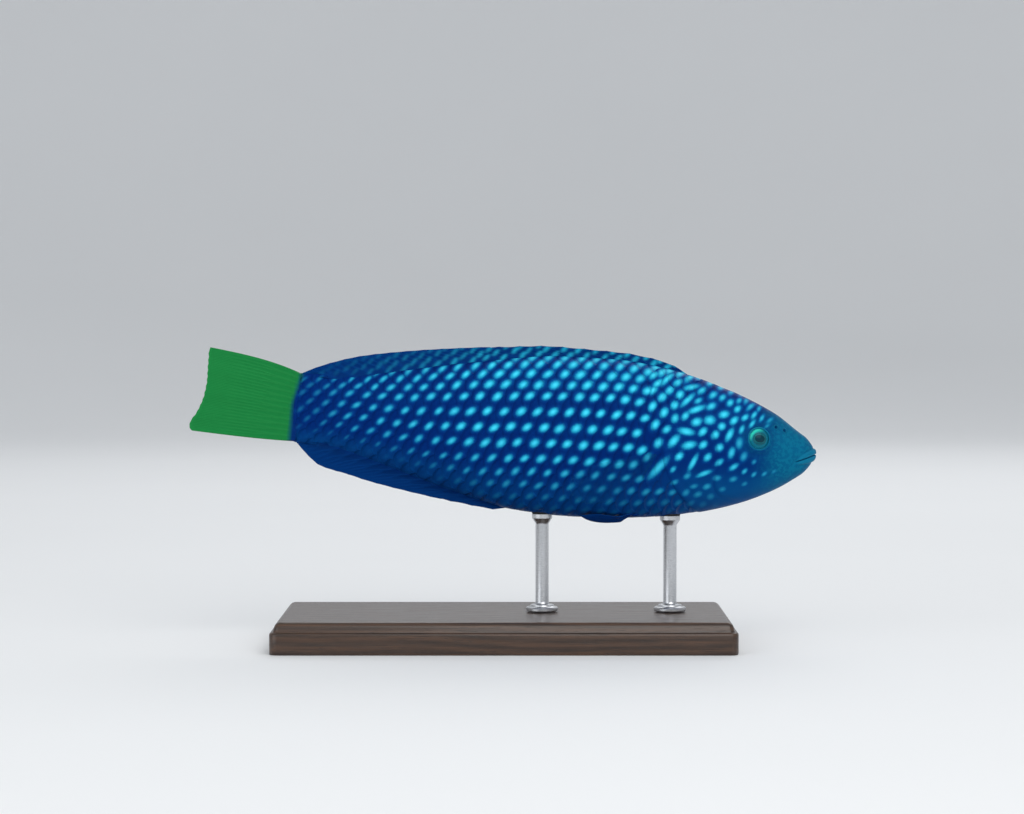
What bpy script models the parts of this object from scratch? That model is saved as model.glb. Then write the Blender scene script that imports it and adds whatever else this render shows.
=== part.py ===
"""A yellowtail wrasse as a still, life-size model on a plain display stand.

Metres, +Z up. The fish faces +X, its right side is towards -Y, and the stand rests on the floor at z = 0.
The fish is shaped level, nose forward, and one empty then tips it nose down and lifts it onto its rods.
"Along" is the distance behind the tip of the snout, and "height" is above the line from the snout to the
middle of the tail's root.
"""

import math

import bmesh
import bpy
import numpy as np
from mathutils import Matrix, Vector

# Driving dimensions
STANDARD_LENGTH = 0.1494  # snout to the root of the tail fin
CAUDAL_LENGTH = 0.0294  # the tail fin, root to its longest ray
NOSE_DOWN = math.radians(4.9)  # tilt of the body in the water
FISH_LIFT = 0.0625  # floor to the middle of the fish
SEAM = 0.0003  # gap that touching pieces keep
MM = 0.001
PERCENT = STANDARD_LENGTH / 100  # the outlines below are in percent of the standard length

# Outlines of the body without its fins: (along, height) or (along, half width)
BACK = ((0, 1.2), (3.7, 3.3), (8.8, 6.6), (15.8, 9.6), (23.7, 12.2), (31.6, 13.8), (39.4, 14.5),
        (50.9, 14.2), (62.2, 12.6), (73.6, 10.5), (81.3, 8.9), (88.8, 7.5), (94.4, 6.9), (100, 6.8))
BELLY = ((0, -2.3), (3.0, -4.7), (7.6, -7.9), (14.0, -11.0), (21.5, -13.4), (29.0, -15.0), (40.4, -16.2),
         (48.2, -16.5), (56.9, -16.1), (65.4, -14.4), (73.2, -12.4), (81.0, -10.2), (88.4, -8.2),
         (94.4, -7.1), (100, -6.8))
HALF_WIDTH = ((0, 1.4), (3.4, 2.6), (7.4, 3.5), (11.8, 4.4), (16.7, 5.3), (23.4, 6.3), (31.5, 7.1), (40.2, 7.4),
              (50.2, 7.2), (60.2, 6.5), (70.3, 5.5), (80.3, 4.1), (88.4, 3.0), (94.4, 2.1), (100, 1.3))
WIDEST_SHARE = 0.5  # how far up the body it is widest
BACK_FULLNESS = 2.05  # 2 makes an ellipse, more a squarer section
BELLY_FULLNESS = 2.25
SNOUT_START = 0.45 * PERCENT  # the lips reach this far in front of the jaws
SNOUT_ROUND = 2.6 * PERCENT
SNOUT_RINGS = 5
BODY_RINGS = 44
BODY_SPOKES = 40
REAR_END_ROUND = 1.0 * MM  # the last ring before the rounded rear end
REAR_END_SIZE = (0.8, 0.98)  # how wide and how high the end face is

# The cuts between head, trunk and tail stalk: (along, height)
GILL_EDGE = ((26.5, 20.0), (27.5, 12.6), (28.7, 6.0), (30.3, 0.8), (29.8, -2.8), (28.5, -6.2), (26.4, -9.5),
             (23.6, -12.2), (20.6, -14.2), (17.5, -20.0))
GILL_COVER_FRONT = ((32.0, 5.4), (26.0, 5.0), (22.6, 3.6), (20.2, 0.6), (19.2, -4.2), (19.8, -8.4),
                    (21.4, -11.4), (24.5, -20.0))
GILL_COVER_INNER = 4.4 * MM  # the covers are cut off the head outside this distance from its middle
STALK_START = 88.6 * PERCENT
BLOCK_SIDE = 0.04  # cutting blocks reach that far to either side, and up and down
BLOCK_REAR = 0.07
BLOCK_FRONT = -0.02

# Mouth, nostrils and eyes
MOUTH_LENGTH = 4.1 * PERCENT
MOUTH_FRONT_HEIGHT = -0.5 * PERCENT
MOUTH_CORNER_HEIGHT = -2.1 * PERCENT
MOUTH_SLIT = (0.36 * MM, 0.12 * MM)  # its height in front and at the corner
MOUTH_SLIT_AHEAD = 4 * MM
MOUTH_SLIT_BEHIND = 0.3 * MM
LIP_RADIUS = 1.1 * MM
LIP_WIDTH_SHARE = 0.95  # of the snout's half width
LIP_THINNING = 0.55  # lost towards the corners
LIP_CLOSING = 0.6  # how far the lips come together at the corners
LIP_SINK = 0.35 * MM
LIP_SPREAD = 0.66 * LIP_RADIUS  # each lip's middle above or below the mouth line
LIP_STEPS = 20
EYE_ALONG = 11.8 * PERCENT
EYE_HEIGHT = 1.7 * PERCENT
EYE_RADIUS = 3.6 * MM
EYE_DEPTH = 2.6 * MM  # half its thickness, because it is a flattened ball
EYE_SINK = 1.75 * MM  # its middle below the skin
EYE_RIM = 0.42 * MM
EYE_ROOM = 0.02 * MM  # the socket is that much wider than the seam asks
NOSTRILS = ((7.0 * PERCENT, 3.6 * PERCENT), (8.7 * PERCENT, 4.1 * PERCENT))
NOSTRIL_RADIUS = 0.5 * MM

# Fins. Each median fin is folded back: (along, height) of its free edge, in percent
MEMBRANE_HALF = 0.26 * MM
MEMBRANE_TIP_HALF = 0.32 * MM
RAY_HALF = 0.46 * MM
SPINE_HALF = 0.52 * MM
SPINE_NOTCH = 0.35 * MM  # how far the edge dips between the spines
FIN_SINK = 1.2 * MM
DORSAL_BASE = (24.2 * PERCENT, 96.5 * PERCENT)
DORSAL_SPINES, DORSAL_RAYS = 9, 12
DORSAL_EDGE = ((24.0, 12.2), (28.0, 13.8), (32.0, 15.0), (39.4, 15.8), (50.9, 15.9), (62.2, 14.9), (73.6, 13.5),
               (81.3, 12.3), (88.8, 10.8), (94.4, 9.1), (98.2, 7.7), (99.8, 7.0))
DORSAL_REACH = (4.5 * PERCENT, 9.5 * PERCENT, 3.3 * PERCENT)  # how far back its first, middle and last ray lean
ANAL_BASE = (56.5 * PERCENT, 96.5 * PERCENT)
ANAL_SPINES, ANAL_RAYS = 3, 12
ANAL_EDGE = ((57.0, -16.3), (61.0, -16.3), (65.4, -15.9), (73.2, -14.9), (84.9, -13.0), (89.6, -11.9),
             (92.7, -11.3), (94.8, -10.8), (96.7, -9.6), (99.8, -7.0))
ANAL_REACH = (4.5 * PERCENT, 10.0 * PERCENT, 3.3 * PERCENT)
CAUDAL_RAYS = 14
CAUDAL_ROOT_HALF = 6.6 * PERCENT
CAUDAL_END = ((-9.2, 178.9), (-8.3, 179.8), (-7.0, 179.7), (-3.6, 177.9), (1.7, 176.2), (5.6, 175.8), (11.0, 175.9),
              (14.0, 175.95), (15.0, 175.5))  # (height, along) of its rear edge, in millimetres
CAUDAL_BOW = (-0.3 * MM, 0.9 * MM)  # how far its lowest and its highest ray bend outwards
CAUDAL_ROOT_THICK = 1.15 * MM
CAUDAL_ROOT_SHARE = 0.33  # of its length that the thick root takes
PECTORAL_RAYS = 13
PECTORAL_TOP = (30.6 * PERCENT, -2.4 * PERCENT)
PECTORAL_FOOT = (32.8 * PERCENT, -7.2 * PERCENT)
PECTORAL_LENGTHS = (21.3 * PERCENT, 10.4 * PERCENT)
PECTORAL_ANGLES = (math.radians(12), math.radians(38))
PECTORAL_FLARE = 0.10  # how fast it leaves the flank
PELVIC_RAYS = 6
PELVIC_BASE_ALONG = (33.2 * PERCENT, 34.6 * PERCENT)
PELVIC_BASE_SIDE = (4.3 * MM, 1.7 * MM)
PELVIC_LENGTHS = (12.6 * PERCENT, 4.4 * PERCENT)
PELVIC_ANGLES = (math.radians(10), math.radians(-1))
PELVIC_FLARE = 0.07
PAIRED_CLEAR = 0.75 * MM  # how far a paired fin stands off the skin
PAIRED_SINK = 1.2 * MM  # how deep its root starts
PAIRED_RISE_SHARE = 0.25  # of its length, in which it comes out of the skin

# Stand
BASE_SIZE = (0.130, 0.060, 0.009)
BASE_EDGE = 1.5 * MM
ROD_RADIUS = 1.9 * MM
ROD_FOOT_RADIUS = 4.6 * MM
ROD_FOOT_HEIGHT = 1.8 * MM
ROD_CUP_RADIUS = 2.9 * MM
ROD_CUP_HEIGHT = 5.0 * MM
ROD_CUP_OVER = 2.5 * MM  # its rim above the belly's middle
ROD_FOOT_EASE = 0.4 * MM
ROD_CUP_EASE = 1.5 * MM
ROD_SPOKES = 20
ROD_ALONG = (0.0405, 0.0770)  # the breast, and just ahead of the vent

COLOURS = {
    "spotted_skin": (0.004, 0.045, 0.200),
    "face_skin": (0.018, 0.130, 0.205),
    "dark_fin": (0.003, 0.034, 0.160),
    "clear_fin": (0.020, 0.150, 0.300),
    "yellow_fin": (0.150, 0.340, 0.020),
    "eye": (0.120, 0.045, 0.020),
    "stand_board": (0.05, 0.045, 0.04),
    "stand_steel": (0.62, 0.63, 0.65),
}
ROUGHNESS = {"eye": 0.12, "stand_steel": 0.3, "stand_board": 0.4}

MIDDLE = (STANDARD_LENGTH + CAUDAL_LENGTH + 1.2 * MM) / 2


class Outline:
    """A smooth line through a few stations, which never swings past them."""

    def __init__(self, stations, scale=PERCENT):
        self.x, self.y = (np.array(column, float) * scale for column in zip(*stations))
        step = np.diff(self.x)
        slope = np.diff(self.y) / step
        inner = np.where(slope[:-1] * slope[1:] > 0, 2 * slope[:-1] * slope[1:] / (slope[:-1] + slope[1:]), 0)
        self.slope = np.concatenate([slope[:1], inner, slope[-1:]])

    def __call__(self, x):
        x = np.clip(np.asarray(x, float), self.x[0], self.x[-1])
        i = np.clip(np.searchsorted(self.x, x, side="right") - 1, 0, len(self.x) - 2)
        step = self.x[i + 1] - self.x[i]
        t = (x - self.x[i]) / step
        return (
            (1 + 2 * t) * (1 - t) ** 2 * self.y[i]
            + t * (1 - t) ** 2 * step * self.slope[i]
            + t * t * (3 - 2 * t) * self.y[i + 1]
            + t * t * (t - 1) * step * self.slope[i + 1]
        )


back_line, belly_line, half_width_line = Outline(BACK), Outline(BELLY), Outline(HALF_WIDTH)
dorsal_edge, anal_edge, caudal_end = Outline(DORSAL_EDGE), Outline(ANAL_EDGE), Outline(CAUDAL_END, MM)


def mix(ends, share):
    """The value that share of the way from the first of two ends to the second."""
    return ends[0] + (ends[1] - ends[0]) * share


def place(along, side, height):
    """A point of the level fish, from its distance behind the snout, its side (+ is left) and its height."""
    return Vector((MIDDLE - along, side, height))


def section(along):
    """(half width, widest height, height of the back above it, depth of the belly below it) at one station."""
    top, bottom = float(back_line(along)), float(belly_line(along))
    level = mix((bottom, top), WIDEST_SHARE)
    into = min(max((along - SNOUT_START) / SNOUT_ROUND, 0.0), 1.0)
    round_off = math.sqrt(1 - (1 - into) ** 2)
    return (
        float(half_width_line(along)) * round_off,
        level,
        (top - level) * round_off,
        (level - bottom) * round_off,
    )


def flank(along, height):
    """Half width of the body at a station and a height."""
    width, level, rise, fall = section(along)
    share, fullness = (
        ((height - level) / rise, BACK_FULLNESS) if height > level else ((level - height) / fall, BELLY_FULLNESS)
    )
    return width * max(1 - min(share, 1.0) ** fullness, 0.0) ** (1 / fullness)


def underside(along, side):
    """Height of the belly's skin at a station and a distance from the middle."""
    width, level, _, fall = section(along)
    share = min(abs(side) / width, 1.0)
    return level - fall * (1 - share**BELLY_FULLNESS) ** (1 / BELLY_FULLNESS)


def flank_normal(along, height):
    """The way the left flank faces."""
    step = 0.5 * MM
    rearward = place(along + step, flank(along + step, height), height) - place(
        along - step, flank(along - step, height), height
    )
    upward = place(along, flank(along, height + step), height + step) - place(
        along, flank(along, height - step), height - step
    )
    return rearward.cross(upward).normalized()


def material(name):
    """One plain paint."""
    made = bpy.data.materials.get(name)
    if made is None:
        made = bpy.data.materials.new(name)
        made.use_nodes = True
        shader = made.node_tree.nodes["Principled BSDF"]
        shader.inputs["Base Color"].default_value = (*COLOURS[name], 1)
        shader.inputs["Roughness"].default_value = ROUGHNESS.get(name, 0.45)
        shader.inputs["Metallic"].default_value = 1.0 if name == "stand_steel" else 0.0
    return made


def solid(name, points, faces, paint, parent=None):
    """One closed mesh object, in triangles that face out."""
    mesh = bpy.data.meshes.new(name)
    mesh.from_pydata([tuple(p) for p in points], [], faces)
    shape = bmesh.new()
    shape.from_mesh(mesh)
    bmesh.ops.triangulate(shape, faces=shape.faces)
    bmesh.ops.recalc_face_normals(shape, faces=shape.faces)
    if shape.calc_volume(signed=True) < 0:
        bmesh.ops.reverse_faces(shape, faces=shape.faces)
    shape.to_mesh(mesh)
    shape.free()
    mesh.shade_smooth()
    mesh.set_sharp_from_angle(angle=math.radians(40))
    mesh.materials.append(material(paint))
    made = bpy.data.objects.new(name, mesh)
    made.parent = parent
    bpy.context.scene.collection.objects.link(made)
    return made


def loft(name, rings, paint, parent=None):
    """A closed skin over rings of equally many points, each end closed to the middle of its ring."""
    count = len(rings[0])
    points = [Vector(p) for ring in rings for p in ring]
    faces = []
    for i in range(len(rings) - 1):
        for j in range(count):
            a, b = i * count + j, i * count + (j + 1) % count
            faces.append((a, b, b + count, a + count))
    for start, order in ((0, 1), (len(points) - count, -1)):
        ring = list(range(start, start + count))
        points.append(sum((points[k] for k in ring), Vector()) / count)
        centre = len(points) - 1
        faces += [(centre, *(ring[j], ring[(j + 1) % count])[:: -order]) for j in range(count)]
    return solid(name, points, faces, paint, parent)


def body_shape(name, grow=0.0):
    """The whole fish without fins, lips or eyes. grow makes it that much fatter all round."""
    snout = [
        SNOUT_START + SNOUT_ROUND * (1 - math.cos(math.pi / 2 * (k + 0.6) / SNOUT_RINGS)) for k in range(SNOUT_RINGS)
    ]
    rest = np.linspace(SNOUT_START + SNOUT_ROUND, STANDARD_LENGTH - REAR_END_ROUND, BODY_RINGS)
    rings = []
    for along, slim, low in [*((a, 1, 1) for a in [*snout, *rest]), (STANDARD_LENGTH + grow, *REAR_END_SIZE)]:
        width, level, rise, fall = section(along)
        ring = []
        for k in range(BODY_SPOKES):
            angle = 2 * math.pi * k / BODY_SPOKES
            up, out = math.cos(angle), math.sin(angle)
            fullness = BACK_FULLNESS if up > 0 else BELLY_FULLNESS
            reach = (rise if up > 0 else fall) + grow
            ring.append(
                place(
                    along,
                    math.copysign(abs(out) ** (2 / fullness), out) * (width * slim + grow),
                    level + math.copysign(abs(up) ** (2 / fullness), up) * reach * low,
                )
            )
        rings.append(ring)
    return loft(name, rings, "spotted_skin", fish)


def bake(target):
    """Fixes a piece's modifiers in its mesh, welds it and keeps its largest closed surface."""
    graph = bpy.context.evaluated_depsgraph_get()
    mesh = bpy.data.meshes.new_from_object(target.evaluated_get(graph))
    target.modifiers.clear()
    shape = bmesh.new()
    shape.from_mesh(mesh)
    bmesh.ops.remove_doubles(shape, verts=shape.verts, dist=1e-7)
    bmesh.ops.triangulate(shape, faces=shape.faces)
    islands, seen = [], set()
    for start in shape.faces:
        if start in seen:
            continue
        island, front = [], [start]
        seen.add(start)
        while front:
            face = front.pop()
            island.append(face)
            for edge in face.edges:
                for other in edge.link_faces:
                    if other not in seen:
                        seen.add(other)
                        front.append(other)
        islands.append(island)
    if len(islands) > 1:
        largest = max(islands, key=lambda island: sum(face.calc_area() for face in island))
        bmesh.ops.delete(
            shape, geom=[f for island in islands if island is not largest for f in island], context="FACES"
        )
    shape.to_mesh(mesh)
    shape.free()
    target.data = mesh


def carve(target, operation, others, solver="EXACT"):
    """Cuts, keeps or joins other closed pieces, which are then removed."""
    group = bpy.data.collections.new("pieces")
    for other in others:
        group.objects.link(other)
    modifier = target.modifiers.new("carve", "BOOLEAN")
    modifier.operation = operation
    modifier.operand_type = "COLLECTION"
    modifier.collection = group
    modifier.solver = solver
    bpy.context.view_layer.update()
    bake(target)
    for other in others:
        bpy.data.objects.remove(other)
    bpy.data.collections.remove(group)


def prism(name, outline, inner=-BLOCK_SIDE, outer=BLOCK_SIDE):
    """A block with that outline, (along, height) in metres, from one side plane to another."""
    count = len(outline)
    points = [place(along, side, height) for side in (inner, outer) for along, height in outline]
    faces = [tuple(range(count)), tuple(range(2 * count - 1, count - 1, -1))]
    faces += [(k, (k + 1) % count, (k + 1) % count + count, k + count) for k in range(count)]
    return solid(name, points, faces, "spotted_skin", fish)


def smooth_edge(stations, count=26, shift=0.0):
    """Points along a cut from its stations, moved to its left by shift."""
    corners = np.array(stations, float) * PERCENT
    run = np.concatenate([[0], np.cumsum(np.hypot(*np.diff(corners, axis=0).T))])
    at = np.linspace(0, run[-1], count)
    lines = [Outline(list(zip(run, corners[:, axis])), scale=1.0) for axis in (0, 1)]
    points = np.column_stack([line(at) for line in lines])
    ahead = np.gradient(points, axis=0)
    ahead /= np.linalg.norm(ahead, axis=1)[:, None]
    return [tuple(p) for p in points + shift * np.column_stack([-ahead[:, 1], ahead[:, 0]])]


def ellipsoid(name, centre, radii, turn, paint, spokes=18, rings=9):
    """A ball flattened along its own Z, which turn sets."""
    made = []
    for i in range(1, rings):
        polar = math.pi * i / rings
        made.append(
            [
                centre
                + turn
                @ Vector(
                    (
                        radii[0] * math.sin(polar) * math.cos(2 * math.pi * k / spokes),
                        radii[1] * math.sin(polar) * math.sin(2 * math.pi * k / spokes),
                        radii[2] * math.cos(polar),
                    )
                )
                for k in range(spokes)
            ]
        )
    return loft(name, made, paint, fish)


def tube(name, path, radii, paint, sides=8):
    """A round bar along a path, with a radius at each point."""
    rings = []
    for i, point in enumerate(path):
        ahead = (path[min(i + 1, len(path) - 1)] - path[max(i - 1, 0)]).normalized()
        up = Vector((0, 0, 1))
        out = ahead.cross(up).normalized()
        up = out.cross(ahead)
        rings.append(
            [
                point
                + radii[i] * (math.cos(2 * math.pi * k / sides) * out + math.sin(2 * math.pi * k / sides) * up)
                for k in range(sides)
            ]
        )
    return loft(name, rings, paint, fish)


def ring_bar(name, centre, turn, radius, thickness, paint, spokes=20, sides=6):
    """A closed ring of round bar about its own Z."""
    points, faces = [], []
    for i in range(spokes):
        angle = 2 * math.pi * i / spokes
        out = Vector((math.cos(angle), math.sin(angle), 0))
        for k in range(sides):
            bend = 2 * math.pi * k / sides
            points.append(
                centre + turn @ (out * (radius + thickness * math.cos(bend)) + Vector((0, 0, thickness * math.sin(bend))))
            )
            a, b = i * sides + k, i * sides + (k + 1) % sides
            c, d = ((i + 1) % spokes) * sides + (k + 1) % sides, ((i + 1) % spokes) * sides + k
            faces.append((a, b, c, d))
    return solid(name, points, faces, paint, fish)


def eye_seat(side):
    """(point on the skin, outward direction, matrix that turns +Z that way) of one eye."""
    on_skin = place(EYE_ALONG, flank(EYE_ALONG, EYE_HEIGHT), EYE_HEIGHT)
    out = flank_normal(EYE_ALONG, EYE_HEIGHT)
    if side < 0:
        on_skin.y, out.y = -on_skin.y, -out.y
    return on_skin, out, out.to_track_quat("Z", "Y").to_matrix()


def mouth_path(lift):
    """The line of a lip from the left corner of the mouth round the snout to the right one."""
    path = []
    for k in range(LIP_STEPS + 1):
        share = 2 * k / LIP_STEPS - 1
        back = 1 - math.cos(math.pi / 2 * share)
        along = SNOUT_START + (MOUTH_LENGTH - SNOUT_START) * back
        side = -math.copysign(section(along)[0] * LIP_WIDTH_SHARE, share)
        height = mix((MOUTH_FRONT_HEIGHT, MOUTH_CORNER_HEIGHT), back)
        path.append(place(along + LIP_SINK, side, height + lift * (1 - LIP_CLOSING * share**4)))
    return path


def make_head(whole):
    """Head with lips, mouth line, nostrils and the rims of the eyes, and the two gill covers cut from it."""
    edge = smooth_edge(GILL_EDGE, shift=-SEAM / 2)
    head = whole.copy()
    head.data = whole.data.copy()
    head.name = "head"
    bpy.context.scene.collection.objects.link(head)
    carve(head, "INTERSECT", [prism("head_block", [(BLOCK_FRONT, BLOCK_SIDE), *edge, (BLOCK_FRONT, -BLOCK_SIDE)])])

    front = smooth_edge(GILL_COVER_FRONT, count=24)
    wider = smooth_edge(GILL_COVER_FRONT, count=24, shift=-SEAM)
    for name, sign in (("gill_cover_left", 1), ("gill_cover_right", -1)):
        cover = head.copy()
        cover.data = head.data.copy()
        cover.name = name
        bpy.context.scene.collection.objects.link(cover)
        outline = [*front, (BLOCK_REAR, -BLOCK_SIDE), (BLOCK_REAR, front[0][1])]
        carve(cover, "INTERSECT", [prism("cover_block", outline, *sorted((sign * GILL_COVER_INNER, sign * BLOCK_SIDE)))])
    for sign in (1, -1):
        outline = [*wider, (BLOCK_REAR, -BLOCK_SIDE), (BLOCK_REAR, wider[0][1])]
        sides = sorted((sign * (GILL_COVER_INNER - SEAM), sign * BLOCK_SIDE))
        carve(head, "DIFFERENCE", [prism("cover_room", outline, *sides)])

    lip_radii = [LIP_RADIUS * (1 - LIP_THINNING * abs(2 * k / LIP_STEPS - 1) ** 2.5) for k in range(LIP_STEPS + 1)]
    pieces = [
        tube("upper_lip", mouth_path(LIP_SPREAD), lip_radii, "face_skin"),
        tube("lower_lip", mouth_path(-LIP_SPREAD), lip_radii, "face_skin"),
    ]
    for sign in (1, -1):
        on_skin, _, turn = eye_seat(sign)
        pieces.append(ring_bar("eye_rim", on_skin, turn, EYE_RADIUS - EYE_RIM, EYE_RIM, "face_skin"))
    carve(head, "UNION", pieces)

    drop = (MOUTH_FRONT_HEIGHT - MOUTH_CORNER_HEIGHT) / (MOUTH_LENGTH - SNOUT_START)
    ends = (
        (SNOUT_START - MOUTH_SLIT_AHEAD, MOUTH_FRONT_HEIGHT + drop * MOUTH_SLIT_AHEAD),
        (MOUTH_LENGTH + MOUTH_SLIT_BEHIND, MOUTH_CORNER_HEIGHT),
    )
    slit = [(along, height + half / 2) for (along, height), half in zip(ends, MOUTH_SLIT)]
    slit += [(along, height - half / 2) for (along, height), half in zip(ends[::-1], MOUTH_SLIT[::-1])]
    cutters = [prism("mouth_slit", slit)]
    for sign in (1, -1):
        on_skin, out, turn = eye_seat(sign)
        room = SEAM + EYE_ROOM
        cutters.append(
            ellipsoid(
                "eye_socket",
                on_skin - out * EYE_SINK,
                (EYE_RADIUS + room, EYE_RADIUS + room, EYE_DEPTH + room),
                turn,
                "face_skin",
            )
        )
        for along, height in NOSTRILS:
            pit = place(along, sign * flank(along, height), height)
            cutters.append(ellipsoid("nostril", pit, (NOSTRIL_RADIUS,) * 3, Matrix.Identity(3), "face_skin", 8, 5))
    for cutter in cutters:
        carve(head, "DIFFERENCE", [cutter])

    for sign, name in ((1, "eye_left"), (-1, "eye_right")):
        on_skin, out, turn = eye_seat(sign)
        ellipsoid(name, on_skin - out * EYE_SINK, (EYE_RADIUS, EYE_RADIUS, EYE_DEPTH), turn, "eye", 20, 12)
    return head


def make_trunk_and_stalk(whole):
    """The trunk behind the gill opening, and the stalk that carries the tail fin."""
    edge = smooth_edge(GILL_EDGE, shift=SEAM / 2)
    trunk, stalk = whole, whole.copy()
    stalk.data = whole.data.copy()
    trunk.name, stalk.name = "trunk", "tail_stalk"
    bpy.context.scene.collection.objects.link(stalk)
    end = STALK_START - SEAM / 2
    carve(trunk, "INTERSECT", [prism("trunk_block", [*edge, (end, -BLOCK_SIDE), (end, BLOCK_SIDE)])])
    start, rear = STALK_START + SEAM / 2, STANDARD_LENGTH - BLOCK_FRONT
    box = [(start, BLOCK_SIDE), (start, -BLOCK_SIDE), (rear, -BLOCK_SIDE), (rear, BLOCK_SIDE)]
    carve(stalk, "INTERSECT", [prism("stalk_block", box)])


def fin(name, sheet, halves, paint, sideways=None):
    """A thin plate over a sheet of points, thicker where halves is larger.

    sheet[i][j] runs along the root by i and out to the tip by j. Both faces have the same triangles.
    sideways is the way the left face looks, or None where the sheet is curved and its own normal serves.
    """
    columns, rows = len(sheet), len(sheet[0])
    left, right = [], []
    for i in range(columns):
        for j in range(rows):
            if sideways is None:
                along = sheet[min(i + 1, columns - 1)][j] - sheet[max(i - 1, 0)][j]
                out = sheet[i][min(j + 1, rows - 1)] - sheet[i][max(j - 1, 0)]
                way = along.cross(out).normalized()
            else:
                way = sideways
            left.append(sheet[i][j] + way * halves[i][j])
            right.append(sheet[i][j] - way * halves[i][j])
    shift = columns * rows
    faces = []
    for i in range(columns - 1):
        for j in range(rows - 1):
            a, b, c, d = i * rows + j, (i + 1) * rows + j, (i + 1) * rows + j + 1, i * rows + j + 1
            faces += [(a, b, c), (a, c, d), (a + shift, c + shift, b + shift), (a + shift, d + shift, c + shift)]
    rim = [i * rows for i in range(columns)]
    rim += [(columns - 1) * rows + j for j in range(1, rows)]
    rim += [i * rows + rows - 1 for i in range(columns - 2, -1, -1)]
    rim += [j for j in range(rows - 2, 0, -1)]
    for k, a in enumerate(rim):
        b = rim[(k + 1) % len(rim)]
        faces += [(a, a + shift, b + shift), (a, b + shift, b)]
    return solid(name, left + right, faces, paint, fish)


def ridge(column, out_share, thick=RAY_HALF):
    """Half thickness of a fin: rays on the even columns, membrane between, both thinner towards the tip."""
    if column % 2:
        return MEMBRANE_HALF
    return mix((thick, MEMBRANE_TIP_HALF), out_share)


def make_median_fin(name, base, edge, skin_line, reach, spines, rays, rows=7):
    """A dorsal or anal fin folded back along the body, with its root sunk in the skin and then cut to it."""
    away = 1 if name.startswith("dorsal") else -1
    first, middle, last = reach
    columns = 2 * (spines + rays) - 1
    sheet, halves = [], []
    for i in range(columns):
        share = i / (columns - 1)
        root_along = mix(base, share)
        lean = mix((first, last), share) + (middle - (first + last) / 2) * math.sin(math.pi * share)
        tip_along = root_along + lean
        root_height = float(skin_line(root_along)) - away * FIN_SINK
        notch = SPINE_NOTCH if i < 2 * spines and i % 2 else 0.0
        tip_height = float(edge(tip_along)) - away * notch
        thick = SPINE_HALF if i < 2 * spines else RAY_HALF
        sheet.append(
            [
                place(mix((root_along, tip_along), j / (rows - 1)), 0, mix((root_height, tip_height), j / (rows - 1)))
                for j in range(rows)
            ]
        )
        halves.append([ridge(i, j / (rows - 1), thick) for j in range(rows)])
    made = fin(name, sheet, halves, "dark_fin", Vector((0, 1, 0)))
    carve(made, "DIFFERENCE", [body_shape("clearance", SEAM)])


def make_caudal_fin(rows=8):
    """The tail fin: a truncate fan, whose lower corner reaches farther back."""
    columns = 2 * CAUDAL_RAYS - 1
    sheet, halves = [], []
    for i in range(columns):
        share = 2 * i / (columns - 1) - 1
        tip_height = mix((CAUDAL_END[0][0] * MM, CAUDAL_END[-1][0] * MM), i / (columns - 1))
        tip_along = float(caudal_end(tip_height))
        root_along, root_height = STANDARD_LENGTH + SEAM, CAUDAL_ROOT_HALF * share
        bow = CAUDAL_BOW[share > 0] * share**2
        sheet.append([])
        halves.append([])
        for j in range(rows):
            out = j / (rows - 1)
            height = mix((root_height, tip_height), out) + bow * math.sin(math.pi * out**0.8)
            sheet[-1].append(place(mix((root_along, tip_along), out), 0, height))
            swell = (CAUDAL_ROOT_THICK - MEMBRANE_HALF) * max(1 - out / CAUDAL_ROOT_SHARE, 0) * (1 - abs(share) ** 4)
            halves[-1].append(ridge(i, out) + swell)
    fin("caudal_fin", sheet, halves, "yellow_fin", Vector((0, 1, 0)))


def stand_off(out):
    """How far a paired fin is off the skin at that share of its length, besides its flare."""
    return mix((-PAIRED_SINK, PAIRED_CLEAR), min(out / PAIRED_RISE_SHARE, 1))


def make_pectoral_fin(name, sign, rows=6):
    """A pectoral fin folded back along the flank, its root on the skin behind the gill cover."""
    columns = 2 * PECTORAL_RAYS - 1
    sheet, halves = [], []
    for i in range(columns):
        share = i / (columns - 1)
        root = (mix((PECTORAL_TOP[0], PECTORAL_FOOT[0]), share), mix((PECTORAL_TOP[1], PECTORAL_FOOT[1]), share))
        angle = mix(PECTORAL_ANGLES, share)
        length = mix(PECTORAL_LENGTHS, share**1.2) * (1 - 0.24 * (1 - share) ** 3 - 0.12 * share**8)
        sheet.append([])
        halves.append([])
        for j in range(rows):
            out = j / (rows - 1)
            run = out * length
            along, height = root[0] + run * math.cos(angle), root[1] - run * math.sin(angle)
            side = flank(along, height) + PECTORAL_FLARE * run + stand_off(out)
            sheet[-1].append(place(along, sign * side, height))
            halves[-1].append(ridge(i, out))
    made = fin(name, sheet, halves, "clear_fin")
    carve(made, "DIFFERENCE", [body_shape("clearance", SEAM)])


def make_pelvic_fin(name, sign, rows=6):
    """A pelvic fin folded back under the belly."""
    columns = 2 * PELVIC_RAYS - 1
    sheet, halves = [], []
    for i in range(columns):
        share = i / (columns - 1)
        root_along, root_side = mix(PELVIC_BASE_ALONG, share), mix(PELVIC_BASE_SIDE, share)
        angle = mix(PELVIC_ANGLES, share)
        length = mix(PELVIC_LENGTHS, share) * (1 - 0.38 * max(1 - share / 0.2, 0))
        sheet.append([])
        halves.append([])
        for j in range(rows):
            out = j / (rows - 1)
            run = out * length
            along, side = root_along + run * math.cos(angle), root_side + run * math.sin(angle)
            sheet[-1].append(place(along, sign * side, underside(along, side) - PELVIC_FLARE * run - stand_off(out)))
            halves[-1].append(ridge(i, out))
    made = fin(name, sheet, halves, "dark_fin")
    carve(made, "DIFFERENCE", [body_shape("clearance", SEAM)])


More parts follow.
